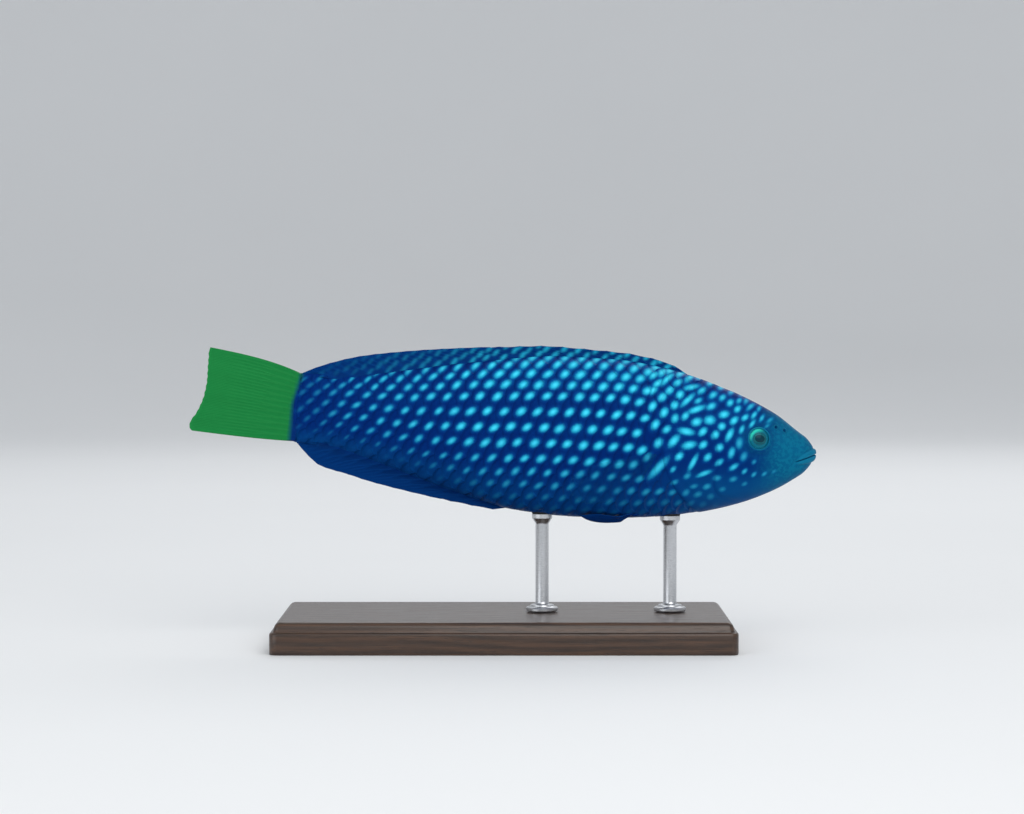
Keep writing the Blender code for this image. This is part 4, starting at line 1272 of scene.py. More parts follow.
    def _close(self, points: Array, marks: dict[str, Array]) -> tuple[Array, dict[str, Array]]:
        """Adds the snout's tip and the sheath over the tail's root, each ring like the one it grows from."""
        rings = [points]
        middle = points[0].mean(axis=0) - np.array([-0.02 * MM, 0, 0])
        rings.insert(0, np.broadcast_to(middle, points[0].shape))
        last = points[-1]
        for slim, low, back in self.sheath:
            centre = np.array([last[:, 0].mean(), 0, last[:, 2].mean()])
            ring = centre + (last - centre) * np.array([1, slim, low])
            ring[:, 0] -= back * MM
            rings.append(ring)
        stacked = np.concatenate([ring.reshape(-1, 3) for ring in rings])
        closed = {}
        for name, values in marks.items():
            table = np.asarray(values, float).reshape(len(points) * self.spokes, -1)
            first, end = table[: self.spokes], table[-self.spokes :]
            closed[name] = np.concatenate([first, table, *[end] * len(self.sheath)])
        closed["tail"] = self.body.tail_share(MIDDLE - stacked[:, 0], stacked[:, 2])[:, None]
        return stacked, closed


@dataclass
class ScaleCoat:
    """The scales of one flank: thin rounded plates, one under each spot, which lie back over one another."""

    chart: FlankChart
    spots: Spots
    skin: Skin
    side: Side
    length: float = 1.75  # of the spacing between spots
    half_height: float = 1.0  # of the spacing between rows
    thickness: float = 0.06 * MM
    lift: float = 0.15 * MM  # rise from the buried front to the free edge
    crown: float = 0.03 * MM
    steps_long: int = 6
    steps_high: int = 16

    def build(self, finish: Material) -> None:
        """Makes the flank's scales as one joined mesh.

        Args:
            finish: the spotted material.
        """
        row, centre_along, centre_arc = self._sites()
        rows = self.chart.rows
        bare = centre_along + 0.42 * rows.pitch(centre_along)  # the middle of the part left uncovered
        seen = self.spots.around(bare, centre_arc, len(SpottedFinish.seats))
        row, centre_along, centre_arc = (values[:, None, None] for values in (row, centre_along, centre_arc))
        pitch = rows.pitch(centre_along)
        high = rows.squeeze_at(row) * rows.spacing(centre_along) * self.half_height
        out = np.linspace(0, 1, self.steps_long + 1)[None, :, None]
        swing = np.linspace(-math.pi / 2, math.pi / 2, self.steps_high + 1)[None, None, :]
        across, bow = np.sin(swing), 1 - np.cos(swing)
        apex = centre_along + 0.54 * pitch
        front = apex - self.length * pitch
        edge = apex - 0.60 * pitch * bow
        along = front + (edge - front) * out
        taper = 0.82 + 0.18 * ease(out, 0, 0.45)
        arc = centre_arc + across * high * taper
        above, below = self.chart.reach(along)
        arc = np.clip(arc, -below + 0.25 * MM, above - 0.25 * MM)
        along = np.minimum(along, STANDARD_LENGTH - 0.1 * MM)
        angle = self.chart.angle_at(along, arc)
        level, normal = self.chart.body.point(along, angle), self.chart.body.normal(along, angle)
        height = -self.skin.coat_depth - 0.03 * MM + self.lift * (along - front) / (apex - front)
        height += self.crown * (1 - across**2) * ease(out, 0, 0.5) - 0.02 * MM * (out >= 1)
        top = level + normal * height[..., None]
        bottom = top - normal * self.thickness
        mirror = self.side.mirror
        shape = along.shape
        work = Work(f"scales_{self.side.word}")
        marks = self._marks(seen, along, arc, level, out, across)
        faces, patch = self._plate_faces(shape)
        unwrap = self._unwrap(centre_along, centre_arc, pitch, high, out, across, shape)
        points = np.stack([top, bottom], axis=1) * mirror
        per_plate = shape[1] * shape[2] * 2
        every = (np.arange(shape[0]) * per_plate)[:, None, None] + faces[None]
        corners = unwrap.reshape(shape[0], -1, 2)[:, patch]
        order = self._face_order(shape[0], len(faces))
        every, corners = every.reshape(-1, 3)[order], corners.reshape(-1, 3, 2)[order]
        work.add(posed(points.reshape(-1, 3)), every, corners, marks)
        work.build(finish, "spotted_skin")

    def _sites(self) -> tuple[Array, Array, Array]:
        """Row, along and arc of the scales' middles: all behind the nape line and the gill edge."""
        row, along, arc = self.chart.sites(13 * MM, 149.2 * MM)
        keep = self.skin.coat.behind(along, self.chart.height_at(along, arc)) > -0.6 * MM
        return row[keep], along[keep], arc[keep]

    def _marks(self, seen: Array, along: Array, arc: Array, level: Array, out: Array,
               across: Array) -> dict[str, Array]:
        """What the plates' points carry, the same on both faces of a plate."""
        shape = along.shape
        _, skin_marks = self.skin.relief(along.ravel(), level.reshape(-1, 3))
        one_face = {
            "scale_at": np.stack(np.broadcast_arrays(out * 1.0, across, np.ones(shape)), axis=-1),
            "face": skin_marks["face"].reshape(shape)[..., None],
            "lip": np.zeros((*shape, 1)),
            "throat": skin_marks["throat"].reshape(shape)[..., None],
            "tail": skin_marks["tail"].reshape(shape)[..., None],
            "back": skin_marks["back"].reshape(shape)[..., None],
            "shade": (0.12 * ease(np.broadcast_to(out, shape), 0.52, 0.2))[..., None],
        }
        for number, letter in enumerate(SpottedFinish.seats):
            spot = seen[:, number, None, None]
            strength = np.broadcast_to(self.spots.strength[spot], shape)
            one_face[f"spot_{letter}"] = np.stack([*self.spots.local(spot, along, arc), strength], axis=-1)
        both = {}
        for name, values in one_face.items():
            both[name] = np.stack([values, values], axis=1).reshape(-1, values.shape[-1])
        return both

    def _plate_faces(self, shape: tuple[int, ...]) -> tuple[Array, Array]:
        """Triangles of one plate, underside and rim first, and the unwrap entry of each corner."""
        high, wide = shape[1], shape[2]
        flip = self.side is Side.LEFT
        top, _ = grid(high, wide, flip=flip)
        bottom, _ = grid(high, wide, flip=not flip)
        under = high * wide
        rim = wall(border(np.arange(under).reshape(high, wide).T), under)
        rim = rim[:, ::-1] if not flip else rim
        faces = np.concatenate([bottom + under, rim, top])
        return faces, faces % under

    @staticmethod
    def _face_order(plates: int, faces: int) -> Array:
        """Puts the upper faces of all plates last, so that they win where a map holds both."""
        return np.arange(plates * faces).reshape(plates, faces).T.ravel()

    def _unwrap(self, along: Array, arc: Array, pitch: Array, high: Array, out: Array, across: Array,
                shape: tuple[int, ...]) -> Array:
        """Each plate's patch on the unrolled flank, at its own place and clear of its neighbours."""
        x = (along + (out - 0.5) * 0.88 * pitch) / (STANDARD_LENGTH + 6 * MM)
        y = 0.5 + (arc + across * 0.44 * high / self.half_height) / (64 * MM)
        return np.stack(np.broadcast_arrays(x + 0 * across, y + 0 * out), axis=-1).reshape(shape + (2,))


@dataclass
class FinShape:
    """A fin as a thin sheet over rays: columns run along the root and rows run out to the tip."""

    name: str
    node: str
    slot: str
    rays: int
    spines: int = 0
    per_ray: int = 14
    rows: int = 30
    membrane_half: float = 0.13 * MM
    ray_half: float = 0.36 * MM
    tip_half: float = 0.17 * MM
    swell_end: float = 0.16  # share of the way out to which the fleshy root reaches
    first_split: tuple[float, float] = (0.25, 0.6)
    second_split: tuple[float, float] = (0.6, 0.95)

    def columns(self) -> Array:
        """Ray number of each column, gathered near the rays."""
        inside = np.linspace(-0.5, 0.5, self.per_ray + 1)[:-1]
        inside = np.sign(inside) * (np.abs(inside) * 2) ** 1.25 / 2
        every = (np.arange(self.rays)[:, None] + inside[None]).ravel()
        return np.clip(np.append(every, self.rays - 0.5), 0, self.rays - 1)

    def ridges(self, ray: Array, out: Array) -> Array:
        """How much each place is ray: 1 on a ray's middle line, which splits twice on its way out.

        Args:
            ray: ray number, with fractions between rays.
            out: share of the way from root to tip.

        Returns:
            0 to 1.
        """
        spine = ray < self.spines - 0.5
        aside = np.abs(ray - np.round(ray))
        first = 0.25 * ease(out, *self.first_split)
        second = 0.125 * ease(out, *self.second_split)
        split = np.abs(np.abs(aside - first) - second)
        width = mix(0.17, 0.062, ease(out, 0.1, 0.8))
        return np.where(spine, hump(aside, mix(0.15, 0.06, out)), hump(split, width))

    def halves(self, ray: Array, out: Array, root_swell: float) -> Array:
        """Half thickness at each place, with a fleshy swell at the root."""
        tall = mix(self.ray_half, self.tip_half, out**0.8)
        swell = root_swell * (1 - ease(out, 0.0, self.swell_end)) ** 1.5
        return self.membrane_half + (tall - self.membrane_half) * self.ridges(ray, out) + swell

    def build(self, sheet: Callable[[Array, Array], Array], finish: Material, root_swell: float,
              marks: Callable[[Array, Array], dict[str, Array]]) -> None:
        """Makes the fin and sets it in its node's place.

        Args:
            sheet: gives places of the level fish from the shares of the way along the root and out.
            finish: its material.
            root_swell: how much thicker each half is at the root.
            marks: gives "streak" and "root" where the fin has them.
        """
        ray, out = np.meshgrid(self.columns(), np.linspace(0, 1, self.rows) ** 0.9, indexing="ij")
        share = ray / (self.rays - 1)
        middle = sheet(share, out)
        along, outward = np.gradient(middle, axis=0), np.gradient(middle, axis=1)
        way = np.cross(along, outward)
        way /= np.maximum(np.linalg.norm(way, axis=-1, keepdims=True), 1e-12)
        half = self.halves(ray, out, root_swell)[..., None]
        rim = np.minimum(np.minimum(share, 1 - share) * (self.rays - 1) * 3, (1 - out) * 8)[..., None]
        half = half * np.sqrt(np.clip(rim * 2 - rim**2 * (rim < 1) - (rim >= 1) * (rim * 2 - 1), 0.04, 1))
        reach = run_up(np.linalg.norm(np.diff(middle, axis=1), axis=-1))
        extra = marks(share, out)
        one_face = {
            "ridge": self.ridges(ray, out),
            "out": out,
            "edge": ease(out, 0.955, 1.0),
            "reach": reach,
            "streak": extra.get("streak", np.zeros(share.shape)),
            "root": extra.get("root", np.zeros(share.shape)),
        }
        work = Work(self.name)
        size = share.shape
        count = share.size
        for turn, shift in ((1, 0.0), (-1, 0.5)):
            faces, corners = grid(*size, flip=turn < 0)
            x = shift + 0.01 + 0.48 * corners[..., 0] / (size[0] - 1)
            y = 0.01 + 0.98 * corners[..., 1] / (size[1] - 1)
            work.add(posed(middle + way * half * turn), faces, np.stack([x, y], -1), one_face)
        edge = border(np.arange(count).reshape(size))
        x = 0.01 + 0.48 * (edge // size[1]) / (size[0] - 1)
        y = 0.01 + 0.98 * (edge % size[1]) / (size[1] - 1)
        place = np.stack([x, y], 1)
        place = np.repeat(np.concatenate([place, place])[:, None], 3, axis=1)
        work.faces.append(wall(edge, count))
        work.unwrap.append(place.reshape(-1, 2))
        made = work.build(finish, self.slot, sharp=70)
        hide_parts(self.node)


@dataclass
class MedianFin:
    """A dorsal or anal fin, folded back along the body."""

    body: Body
    node: str
    away: int
    base: tuple[float, float]
    edge: Stations
    reach: tuple[float, float, float]  # how far back the first, the middle and the last ray lean
    spines: int
    rays: int
    dashes: float = 0.0
    dash_rows: tuple[float, ...] = (0.35, 1.75, 3.1, 4.4)  # heights over the body's edge, in millimetres
    dash_pitch: float = 4.7 * MM
    sink: float = 1.2 * MM

    def build(self, finish: Material) -> None:
        """Makes the fin.

        Args:
            finish: its material.
        """
        edge = Outline(self.edge)
        skin = self.body.back_line if self.away > 0 else self.body.belly_line
        elements = self.spines + self.rays

        def sheet(share: Array, out: Array) -> Array:
            """Places of the folded fin."""
            root = mix(*self.base, share)
            first, middle, last = self.reach
            lean = mix(first, last, share)
            tip = root + lean + (middle - (first + last) / 2) * np.sin(math.pi * share)
            low = skin(root) - self.away * self.sink
            ray = share * (elements - 1)
            notch = np.where(ray < self.spines - 0.5, 0.20 * MM, 0.08 * MM)
            notch = notch * np.abs(np.sin(math.pi * ray)) ** 0.8
            high = edge(tip) - self.away * notch
            bow = 0.35 * MM * np.sin(math.pi * out) * np.sin(math.pi * np.clip(share, 0, 1))
            along = mix(root, tip, out) - bow
            wave = 0.10 * MM * np.sin(math.pi * out) * np.sin(ray * 1.9 + 0.6)
            return np.stack([MIDDLE - along, wave, mix(low, high, out)], axis=-1)

        def marks(share: Array, out: Array) -> dict[str, Array]:
            """Faint slanted dashes, which carry the rows of spots on to the fin."""
            place = sheet(share, out)
            streak = self._streaks(MIDDLE - place[..., 0], place[..., 2] - skin(MIDDLE - place[..., 0]))
            # the anal fin's root is darkened with painted shade where it meets the belly; the dorsal fin's is
            # not
            return {"streak": streak, "root": 0.4 * (1 - ease(out, 0.05, 0.3)) * (self.away < 0)}

        fin = FinShape(f"{self.node}_rays", self.node, "dark_fin", elements, self.spines, rows=26,
                       swell_end=0.62)
        fin.build(sheet, finish, 1.3 * MM, marks)

    def _streaks(self, along: Array, above: Array) -> Array:
        """How much each place of the fin is dash.

        Args:
            along: distance of each place behind the snout.
            above: its height over the body's edge.

        Returns:
            0 to 1.
        """
        draw = np.random.default_rng(11)
        found = np.zeros(along.shape)
        for number, lift in enumerate(self.dash_rows if self.dashes else ()):
            first = self.base[0] + (2.35 * (number % 2) - 1) * MM
            for at in np.arange(first, STANDARD_LENGTH, self.dash_pitch):
                length, half = draw.uniform(1.15, 1.6) * MM, draw.uniform(0.5, 0.68) * MM
                slant = math.radians(draw.uniform(42, 56))
                forward = at + draw.uniform(-0.5, 0.5) * MM - along
                up = self.away * above - (lift + draw.uniform(-0.25, 0.25)) * MM
                x = (forward * math.cos(slant) + up * math.sin(slant)) / length
                y = (up * math.cos(slant) - forward * math.sin(slant)) / half
                fade = (1 - 0.6 * ease(at, 88 * MM, 118 * MM)) * (1 - 0.8 * ease(at, 115 * MM, 142 * MM))
                fade = fade * draw.uniform(0.72, 1) * (1 - 0.17 * number)
                found = np.maximum(found, fade * (1 - ease(np.hypot(x, y), 0.45, 1.3)))
        return found * self.dashes


@dataclass
class TailFin:
    """The tail fin: a truncate fan, whose lower corner reaches farther back."""

    root_half: float = 6.5 * PERCENT
    end: Stations = ((-9.2, 178.8), (-8.3, 179.7), (-7.0, 179.6), (-3.6, 177.8), (1.7, 176.1), (5.6, 175.7),
                     (11.0, 175.8), (14.0, 175.85), (15.0, 175.4))  # height and along of the rear edge
    bow: tuple[float, float] = (0.3 * MM, 0.9 * MM)  # how far the lowest and the highest ray bend outwards
    rays: int = 14

    def build(self, body: Body, finish: Material) -> None:
        """Makes the fin.

        Args:
            body: the form it grows from.
            finish: its material.
        """
        edge = Outline(self.end, MM)

        def sheet(share: Array, out: Array) -> Array:
            """Places of the fan, whose rays bow outwards a little."""
            fan = 2 * share - 1
            tip_height = mix(self.end[0][0] * MM, self.end[-1][0] * MM, share)
            tip_along = edge(tip_height) - 0.14 * MM * np.sin(share * (self.rays - 1) * math.pi) ** 2
            root_along, root_height = STANDARD_LENGTH - 0.4 * MM, self.root_half * fan
            along, height = mix(root_along, tip_along, out), mix(root_height, tip_height, out)
            bow = np.where(fan > 0, self.bow[1], -self.bow[0]) * fan**2
            height = height + bow * np.sin(math.pi * out**0.8)
            wave = 0.22 * MM * out * np.sin(share * 7.0 + 0.5) + 0.12 * MM * out * np.sin(share * 23.0)
            return np.stack([MIDDLE - along, wave, height], axis=-1)

        def marks(share: Array, out: Array) -> dict[str, Array]:
            """The dark of the stalk runs on a little way over the root of the fin."""
            place = sheet(share, out)
            return {"root": 1 - body.tail_share(MIDDLE - place[..., 0], place[..., 2])}

        fin = FinShape("tail_fin_rays", "caudal_fin", "yellow_fin", self.rays, per_ray=20, rows=44,
                       membrane_half=0.17 * MM, ray_half=0.26 * MM, tip_half=0.19 * MM,
                       first_split=(0.12, 0.50), second_split=(0.40, 0.90))
        fin.build(sheet, finish, 1.35 * MM, marks)


@dataclass
class PectoralFin:
    """A pectoral fin folded back along the flank, with its fleshy base behind the gill cover."""

    body: Body
    side: Side
    rays: int = 13
    top: tuple[float, float] = (30.6 * PERCENT, -2.4 * PERCENT)
    foot: tuple[float, float] = (32.8 * PERCENT, -7.2 * PERCENT)
    lengths: tuple[float, float] = (21.3 * PERCENT, 10.4 * PERCENT)
    angles: tuple[float, float] = (math.radians(12), math.radians(38))
    flare: float = 0.10

    def build(self, finish: Material) -> None:
        """Makes the fin.

        Args:
            finish: its material.
        """

        def sheet(share: Array, out: Array) -> Array:
            """Places of the fin over the flank."""
            turn = mix(*self.angles, share) + 0.10 * (out**2) * (1 - share)
            length = mix(*self.lengths, share**1.2) * (1 - 0.24 * (1 - share) ** 3 - 0.12 * share**8)
            length = length - 0.25 * MM * np.abs(np.sin(share * 12 * math.pi))
            run = out * length
            along = mix(self.top[0], self.foot[0], share) + run * np.cos(turn)
            height = mix(self.top[1], self.foot[1], share) - run * np.sin(turn)
            near = np.minimum(out * 4, 1)
            stand_off = self.flare * run + 0.75 * MM * near - 1.2 * MM * (1 - near)
            stand_off = stand_off + 0.18 * MM * np.sin(share * 19) * out
            side = self.side.value * (self.body.flank(along, height) + stand_off)
            return np.stack([MIDDLE - along, side, height], axis=-1)

        def marks(share: Array, out: Array) -> dict[str, Array]:
            """The fleshy base."""
            return {"root": 0.75 * (1 - ease(out, 0.03, 0.16))}

        name = f"pectoral_fin_{self.side.word}"
        fin = FinShape(f"{name}_rays", name, "clear_fin", self.rays, per_ray=14, rows=36,
                       membrane_half=0.07 * MM, ray_half=0.24 * MM, tip_half=0.10 * MM,
                       first_split=(0.3, 0.65), second_split=(0.62, 0.95))
        fin.build(sheet, finish, 0.75 * MM, marks)


@dataclass
class PelvicFin:
    """A pelvic fin folded back under the belly."""

    body: Body
    side: Side
    rays: int = 6
    base_along: tuple[float, float] = (33.2 * PERCENT, 34.6 * PERCENT)
    base_side: tuple[float, float] = (4.3 * MM, 1.7 * MM)
    lengths: tuple[float, float] = (12.6 * PERCENT, 4.4 * PERCENT)
    angles: tuple[float, float] = (math.radians(10), math.radians(-1))
    flare: float = 0.07

    def build(self, finish: Material) -> None:
        """Makes the fin.

        Args:
            finish: its material.
        """

        def sheet(share: Array, out: Array) -> Array:
            """Places of the fin under the belly."""
            turn = mix(*self.angles, share)
            run = out * mix(*self.lengths, share) * (1 - 0.38 * np.maximum(1 - share / 0.2, 0))
            along = mix(*self.base_along, share) + run * np.cos(turn)
            side = mix(*self.base_side, share) + run * np.sin(turn)
            near = np.minimum(out * 2.4, 1)
            stand_off = self.flare * run + 0.75 * MM * near - 1.2 * MM * (1 - near)
            height = self.body.underside(along, side) - stand_off
            return np.stack([MIDDLE - along, self.side.value * side, height], axis=-1)

        def marks(share: Array, out: Array) -> dict[str, Array]:
            """Painted shade at the fin's root, where it meets the belly."""
            return {"root": 1 - ease(out, 0.05, 0.3)}

        name = f"pelvic_fin_{self.side.word}"
        fin = FinShape(f"{name}_rays", name, "dark_fin", self.rays, spines=1, per_ray=16, rows=26,
                       first_split=(0.3, 0.6), second_split=(0.6, 0.95))
        fin.build(sheet, finish, 0.7 * MM, marks)


@dataclass
class Eye:
    """An eyeball with painted iris under a clear coat, and the fleshy ring it sits in."""

    skin: Skin
    side: Side
    radius: float = 3.55 * MM
    half_depth: float = 2.55 * MM
    sink: float = 1.75 * MM
    rim_radius: float = 3.15 * MM
    rim_thickness: float = 0.26 * MM
    turns: int = 96
    steps: int = 40

    def _frame(self) -> tuple[Array, Array, Array, Array]:
        """Seat on the skin and three unit ways: out, towards the snout and up, on the level fish."""
        seat, out = self.skin.eye_seat(self.side)
        forward = np.array([1.0, 0, 0]) - out * out[0]
        forward /= np.linalg.norm(forward)
        up = np.cross(out, forward) * self.side.value * -1
        return seat, out, forward, up

    def build(self, eye_finish: Material, rim_finish: Material) -> None:
        """Makes the eyeball and the ring.

        Args:
            eye_finish: material of the ball.
            rim_finish: material of the ring.
        """
        self._ball(eye_finish)
        self._rim(rim_finish)

    def _ball(self, finish: Material) -> None:
        """The flattened ball, whose points carry where they are on the iris."""
        seat, out, forward, up = self._frame()
        polar, turn = np.meshgrid(np.linspace(0.004, math.pi * 0.62, self.steps),
                                  np.arange(self.turns) * TURN / self.turns, indexing="ij")
        off = np.sin(polar)
        bulge = 0.05 * hump(off, 0.55)
        x, y = off * np.cos(turn), off * np.sin(turn)
        points = (
            seat
            - out * self.sink
            + self.radius * (x[..., None] * forward + y[..., None] * up)
            + self.half_depth * (np.cos(polar) + bulge)[..., None] * out
        )
        shown = np.where(polar < math.pi / 2, off, 2 - off) * self.radius / self.rim_radius
        oval = 1 + 0.16 * np.cos(2 * turn) * (1 - ease(shown, 0.4, 0.7))  # the pupil is wider than high
        marks = {"off": shown / oval, "turn": turn, "high": 0.75 * y - 0.66 * x}
        faces, corners = grid(self.steps, self.turns, round_trip=True, flip=self.side is Side.RIGHT)
        spread = corners[..., 0] / (self.steps - 1) * 0.49
        around = corners[..., 1] * TURN / self.turns
        unwrap = 0.5 + np.stack([spread * np.cos(around), spread * np.sin(around)], -1)
        work = Work(f"eyeball_{self.side.word}")
        work.add(posed(points), faces, unwrap, marks)
        made = work.build(finish, "eye")
        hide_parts(f"eye_{self.side.word}")

    def _rim(self, finish: Material) -> None:
        """A soft ring where skin and eyeball meet."""
        seat, out, forward, up = self._frame()
        count = 20
        turn, bend = np.meshgrid(np.arange(self.turns) * TURN / self.turns,
                                 np.arange(count) * TURN / count, indexing="ij")
        gap = self.rim_radius + self.rim_thickness * np.cos(bend) * 1.25
        x, y = np.cos(turn), np.sin(turn)
        points = (
            seat
            + gap[..., None] * (x[..., None] * forward + y[..., None] * up)
            + (self.rim_thickness * np.sin(bend) + 0.02 * MM)[..., None] * out
        )
        curve = self._skin_drop(points, seat, out)
        points = points - curve[..., None] * out
        closed = np.concatenate([points, points[:1]])
        faces, corners = grid(self.turns + 1, count, round_trip=True, flip=self.side is Side.LEFT)
        unwrap = np.stack([corners[..., 0] / self.turns, corners[..., 1] / count], -1)
        high = 0.75 * y - 0.66 * x
        high = np.concatenate([high, high[:1]])
        work = Work(f"eye_ring_{self.side.word}")
        work.add(posed(closed), faces, unwrap, {"high": high})
        work.build(finish, "spotted_skin")

    def _skin_drop(self, points: Array, seat: Array, out: Array) -> Array:
        """How far the head curves away under each point of the ring, towards the middle of the head."""
        along = MIDDLE - points[..., 0]
        flank = self.skin.body.flank(along, points[..., 2])
        gap = points[..., 1] * self.side.value - flank
        lift = ((points - seat) * out).sum(-1)
        return gap - lift


@dataclass
class NostrilCollar:
    """The low fleshy collars of the nostrils on both sides, as one piece."""

    skin: Skin
    radius: float = 0.62 * MM
    thickness: float = 0.17 * MM

    def build(self, finish: Material) -> None:
        """Makes the collars.

        Args:
            finish: the material of the eye's ring, which is the same skin.
        """
        work = Work("nostril_collars")
        turns, count = 36, 12
        turn, bend = np.meshgrid(np.arange(turns + 1) * TURN / turns,
                                 np.arange(count) * TURN / count, indexing="ij")
        for number, (seat, out) in enumerate(self.skin.nostril_seats()):
            forward = np.array([1.0, 0, 0]) - out * out[0]
            forward /= np.linalg.norm(forward)
            up = np.cross(out, forward)
            gap = self.radius + self.thickness * np.cos(bend)
            points = (
                seat
                + out * 0.05 * MM
                + gap[..., None] * (np.cos(turn)[..., None] * forward + np.sin(turn)[..., None] * up)
                + (self.thickness * np.sin(bend))[..., None] * out
            )
            faces, corners = grid(turns + 1, count, round_trip=True, flip=True)
            unwrap = np.stack([(number + corners[..., 0] / turns * 0.9) / 4, corners[..., 1] / count], -1)
            work.add(posed(points), faces, unwrap, {"high": np.full(turn.shape, -0.15)})
        work.build(finish, "spotted_skin")


@dataclass
class Stand:
    """A moulded board and two rods, each with a foot on the board and a felt-lined cup under the belly."""

    body: Body
    edge: Stations = (  # inset, height
        (0.5, 0.0), (0.12, 0.12), (0.0, 0.5), (0.0, 5.6), (0.15, 5.95), (0.45, 6.15), (0.9, 6.25), (1.1, 6.6),
        (1.25, 7.4), (1.6, 8.2), (2.2, 8.75), (2.9, 9.0), (3.3, 9.0),
    )
    corner: float = 2.4 * MM
    corner_steps: int = 10
    rod_turns: int = 72
    rod_radius: float = 1.9 * MM
    foot_radius: float = 4.6 * MM
    foot_height: float = 1.8 * MM
    cup_radius: float = 2.9 * MM
    cup_height: float = 5.0 * MM
    rods: tuple[tuple[str, float], ...] = (("front", 0.0405), ("rear", 0.0770))

    def build(self, wood: Material, steel: Material, felt: Material) -> None:
        """Makes the board and the rods.

        Args:
            wood: the board's material.
            steel: the rods' material.
            felt: the material of the cups' lining.
        """
        self._board(wood)
        for name, along in self.rods:
            self._rod(name, along, steel, felt)

    def _board(self, finish: Material) -> None:
        """The board, swept from its edge moulding round a rounded rectangle."""
        low, high = (Vector(corner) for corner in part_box("stand_base"))
        half = np.array([(high.x - low.x) / 2, (high.y - low.y) / 2])
        turns = []
        for number, (sx, sy) in enumerate(((1, 1), (-1, 1), (-1, -1), (1, -1))):
            for step in range(self.corner_steps + 1):
                angle = (number + step / self.corner_steps) * math.pi / 2
                turns.append((sx, sy, math.cos(angle), math.sin(angle)))
        turns = np.array(turns)
        rings = []
        for inset, height in np.array(self.edge) * MM:
            radius = max(self.corner - inset * 0.6, 0.6 * MM)
            middle = turns[:, :2] * (half - inset - radius)
            ring = middle + turns[:, 2:] * radius
            rings.append(np.column_stack([ring, np.full(len(ring), low.z + height)]))
        count = len(turns)
        top = rings[-1]
        for share in (0.66, 0.33, 0.0):
            rings.append(np.column_stack([top[:, :2] * share, top[:, 2]]))
        rings.insert(0, np.column_stack([rings[0][:, :2] * 0.0, np.full(count, low.z)]))
        points = np.concatenate(rings)
        faces, corners = grid(len(rings), count, round_trip=True)
        flat = points[faces]
        run = run_up(np.hypot(*np.diff(np.array(rings)[:, 0, [0, 2]], axis=0).T))
        unwrap = np.stack([corners[..., 1] / count, run[corners[..., 0].astype(int)] / run[-1]], -1)
        level = corners[..., 0] >= len(rings) - 4
        top_map = 0.5 + flat[..., :2] / (2.2 * half)
        on_top = level.all(axis=1)[:, None, None]
        unwrap = np.where(on_top, top_map * [1, 0.45], [0, 0.5] + unwrap * [1, 0.5])
        work = Work("display_board")
        work.add(points, faces, unwrap, {})
        made = work.build(finish, "stand_board", sharp=35)
        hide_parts("stand_base")

    def _lathe(self, name: str, centre: tuple[float, float], stations: Array, finish: Material,
               node_slot: str, sharp: float = 35) -> Object:
        """A turned piece from pairs of radius and height."""
        turns = self.rod_turns
        angle = np.arange(turns) * TURN / turns
        circle = np.column_stack([np.cos(angle), np.sin(angle), np.zeros(turns)])
        rings = [np.array([centre[0], centre[1], z]) + r * circle for r, z in stations]
        faces, corners = grid(len(rings), turns, round_trip=True)
        run = run_up(np.hypot(*np.diff(stations, axis=0).T))
        unwrap = np.stack([corners[..., 1] / turns, run[corners[..., 0].astype(int)] / run[-1]], -1)
        work = Work(name)
        work.add(np.concatenate(rings), faces, unwrap, {})
        return work.build(finish, node_slot, sharp=sharp)

    def _rod(self, name: str, along: float, steel: Material, felt: Material) -> None:
        """One rod with its foot, its cup and the felt in the cup."""
        low, _ = (Vector(corner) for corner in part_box(f"stand_rod_{name}"))
        under = float(self.body.underside(np.array(along), np.array(0.0)))
        foot = posed(np.array([MIDDLE - along, 0, under]))
        foot_r, rod_r, cup_r = self.foot_radius, self.rod_radius, self.cup_radius
        floor, top = low.z, foot[2] + 0.5 * MM
        cup = foot[2] + 2.5 * MM - self.cup_height
        lip = 0.25 * MM
        stations = np.array([
            (0, floor), (foot_r - lip, floor), (foot_r, floor + lip),
            (foot_r, floor + 0.9 * MM), (foot_r - lip, floor + 1.15 * MM),
            (foot_r - 0.9 * MM, floor + 1.25 * MM), (foot_r - 1.2 * MM, floor + 1.45 * MM),
            (foot_r - 1.3 * MM, floor + self.foot_height), (rod_r + 0.35 * MM, floor + 2.0 * MM),
            (rod_r + 0.08 * MM, floor + 2.3 * MM), (rod_r, floor + 2.7 * MM),
            (rod_r, cup - 0.2 * MM), (rod_r + 0.12 * MM, cup + 0.15 * MM),
            (cup_r - 0.25 * MM, cup + 1.15 * MM), (cup_r, cup + 1.5 * MM),
            (cup_r, top - 0.35 * MM), (cup_r - 0.2 * MM, top - 0.15 * MM), (0, top - 0.15 * MM),
        ])
        made = self._lathe(f"display_rod_{name}", (foot[0], 0.0), stations, steel, "stand_steel")
        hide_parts(f"stand_rod_{name}")
        pad = np.array([
            (0, top - 0.2 * MM), (cup_r - 0.1 * MM, top - 0.2 * MM), (cup_r + 0.05 * MM, top),
            (cup_r + 0.02 * MM, top + 0.35 * MM), (cup_r - 0.5 * MM, top + 0.6 * MM),
            (0, top + 0.6 * MM),
        ])
        self._lathe(f"cup_felt_{name}", (foot[0], 0.0), pad, felt, "stand_steel", sharp=60)


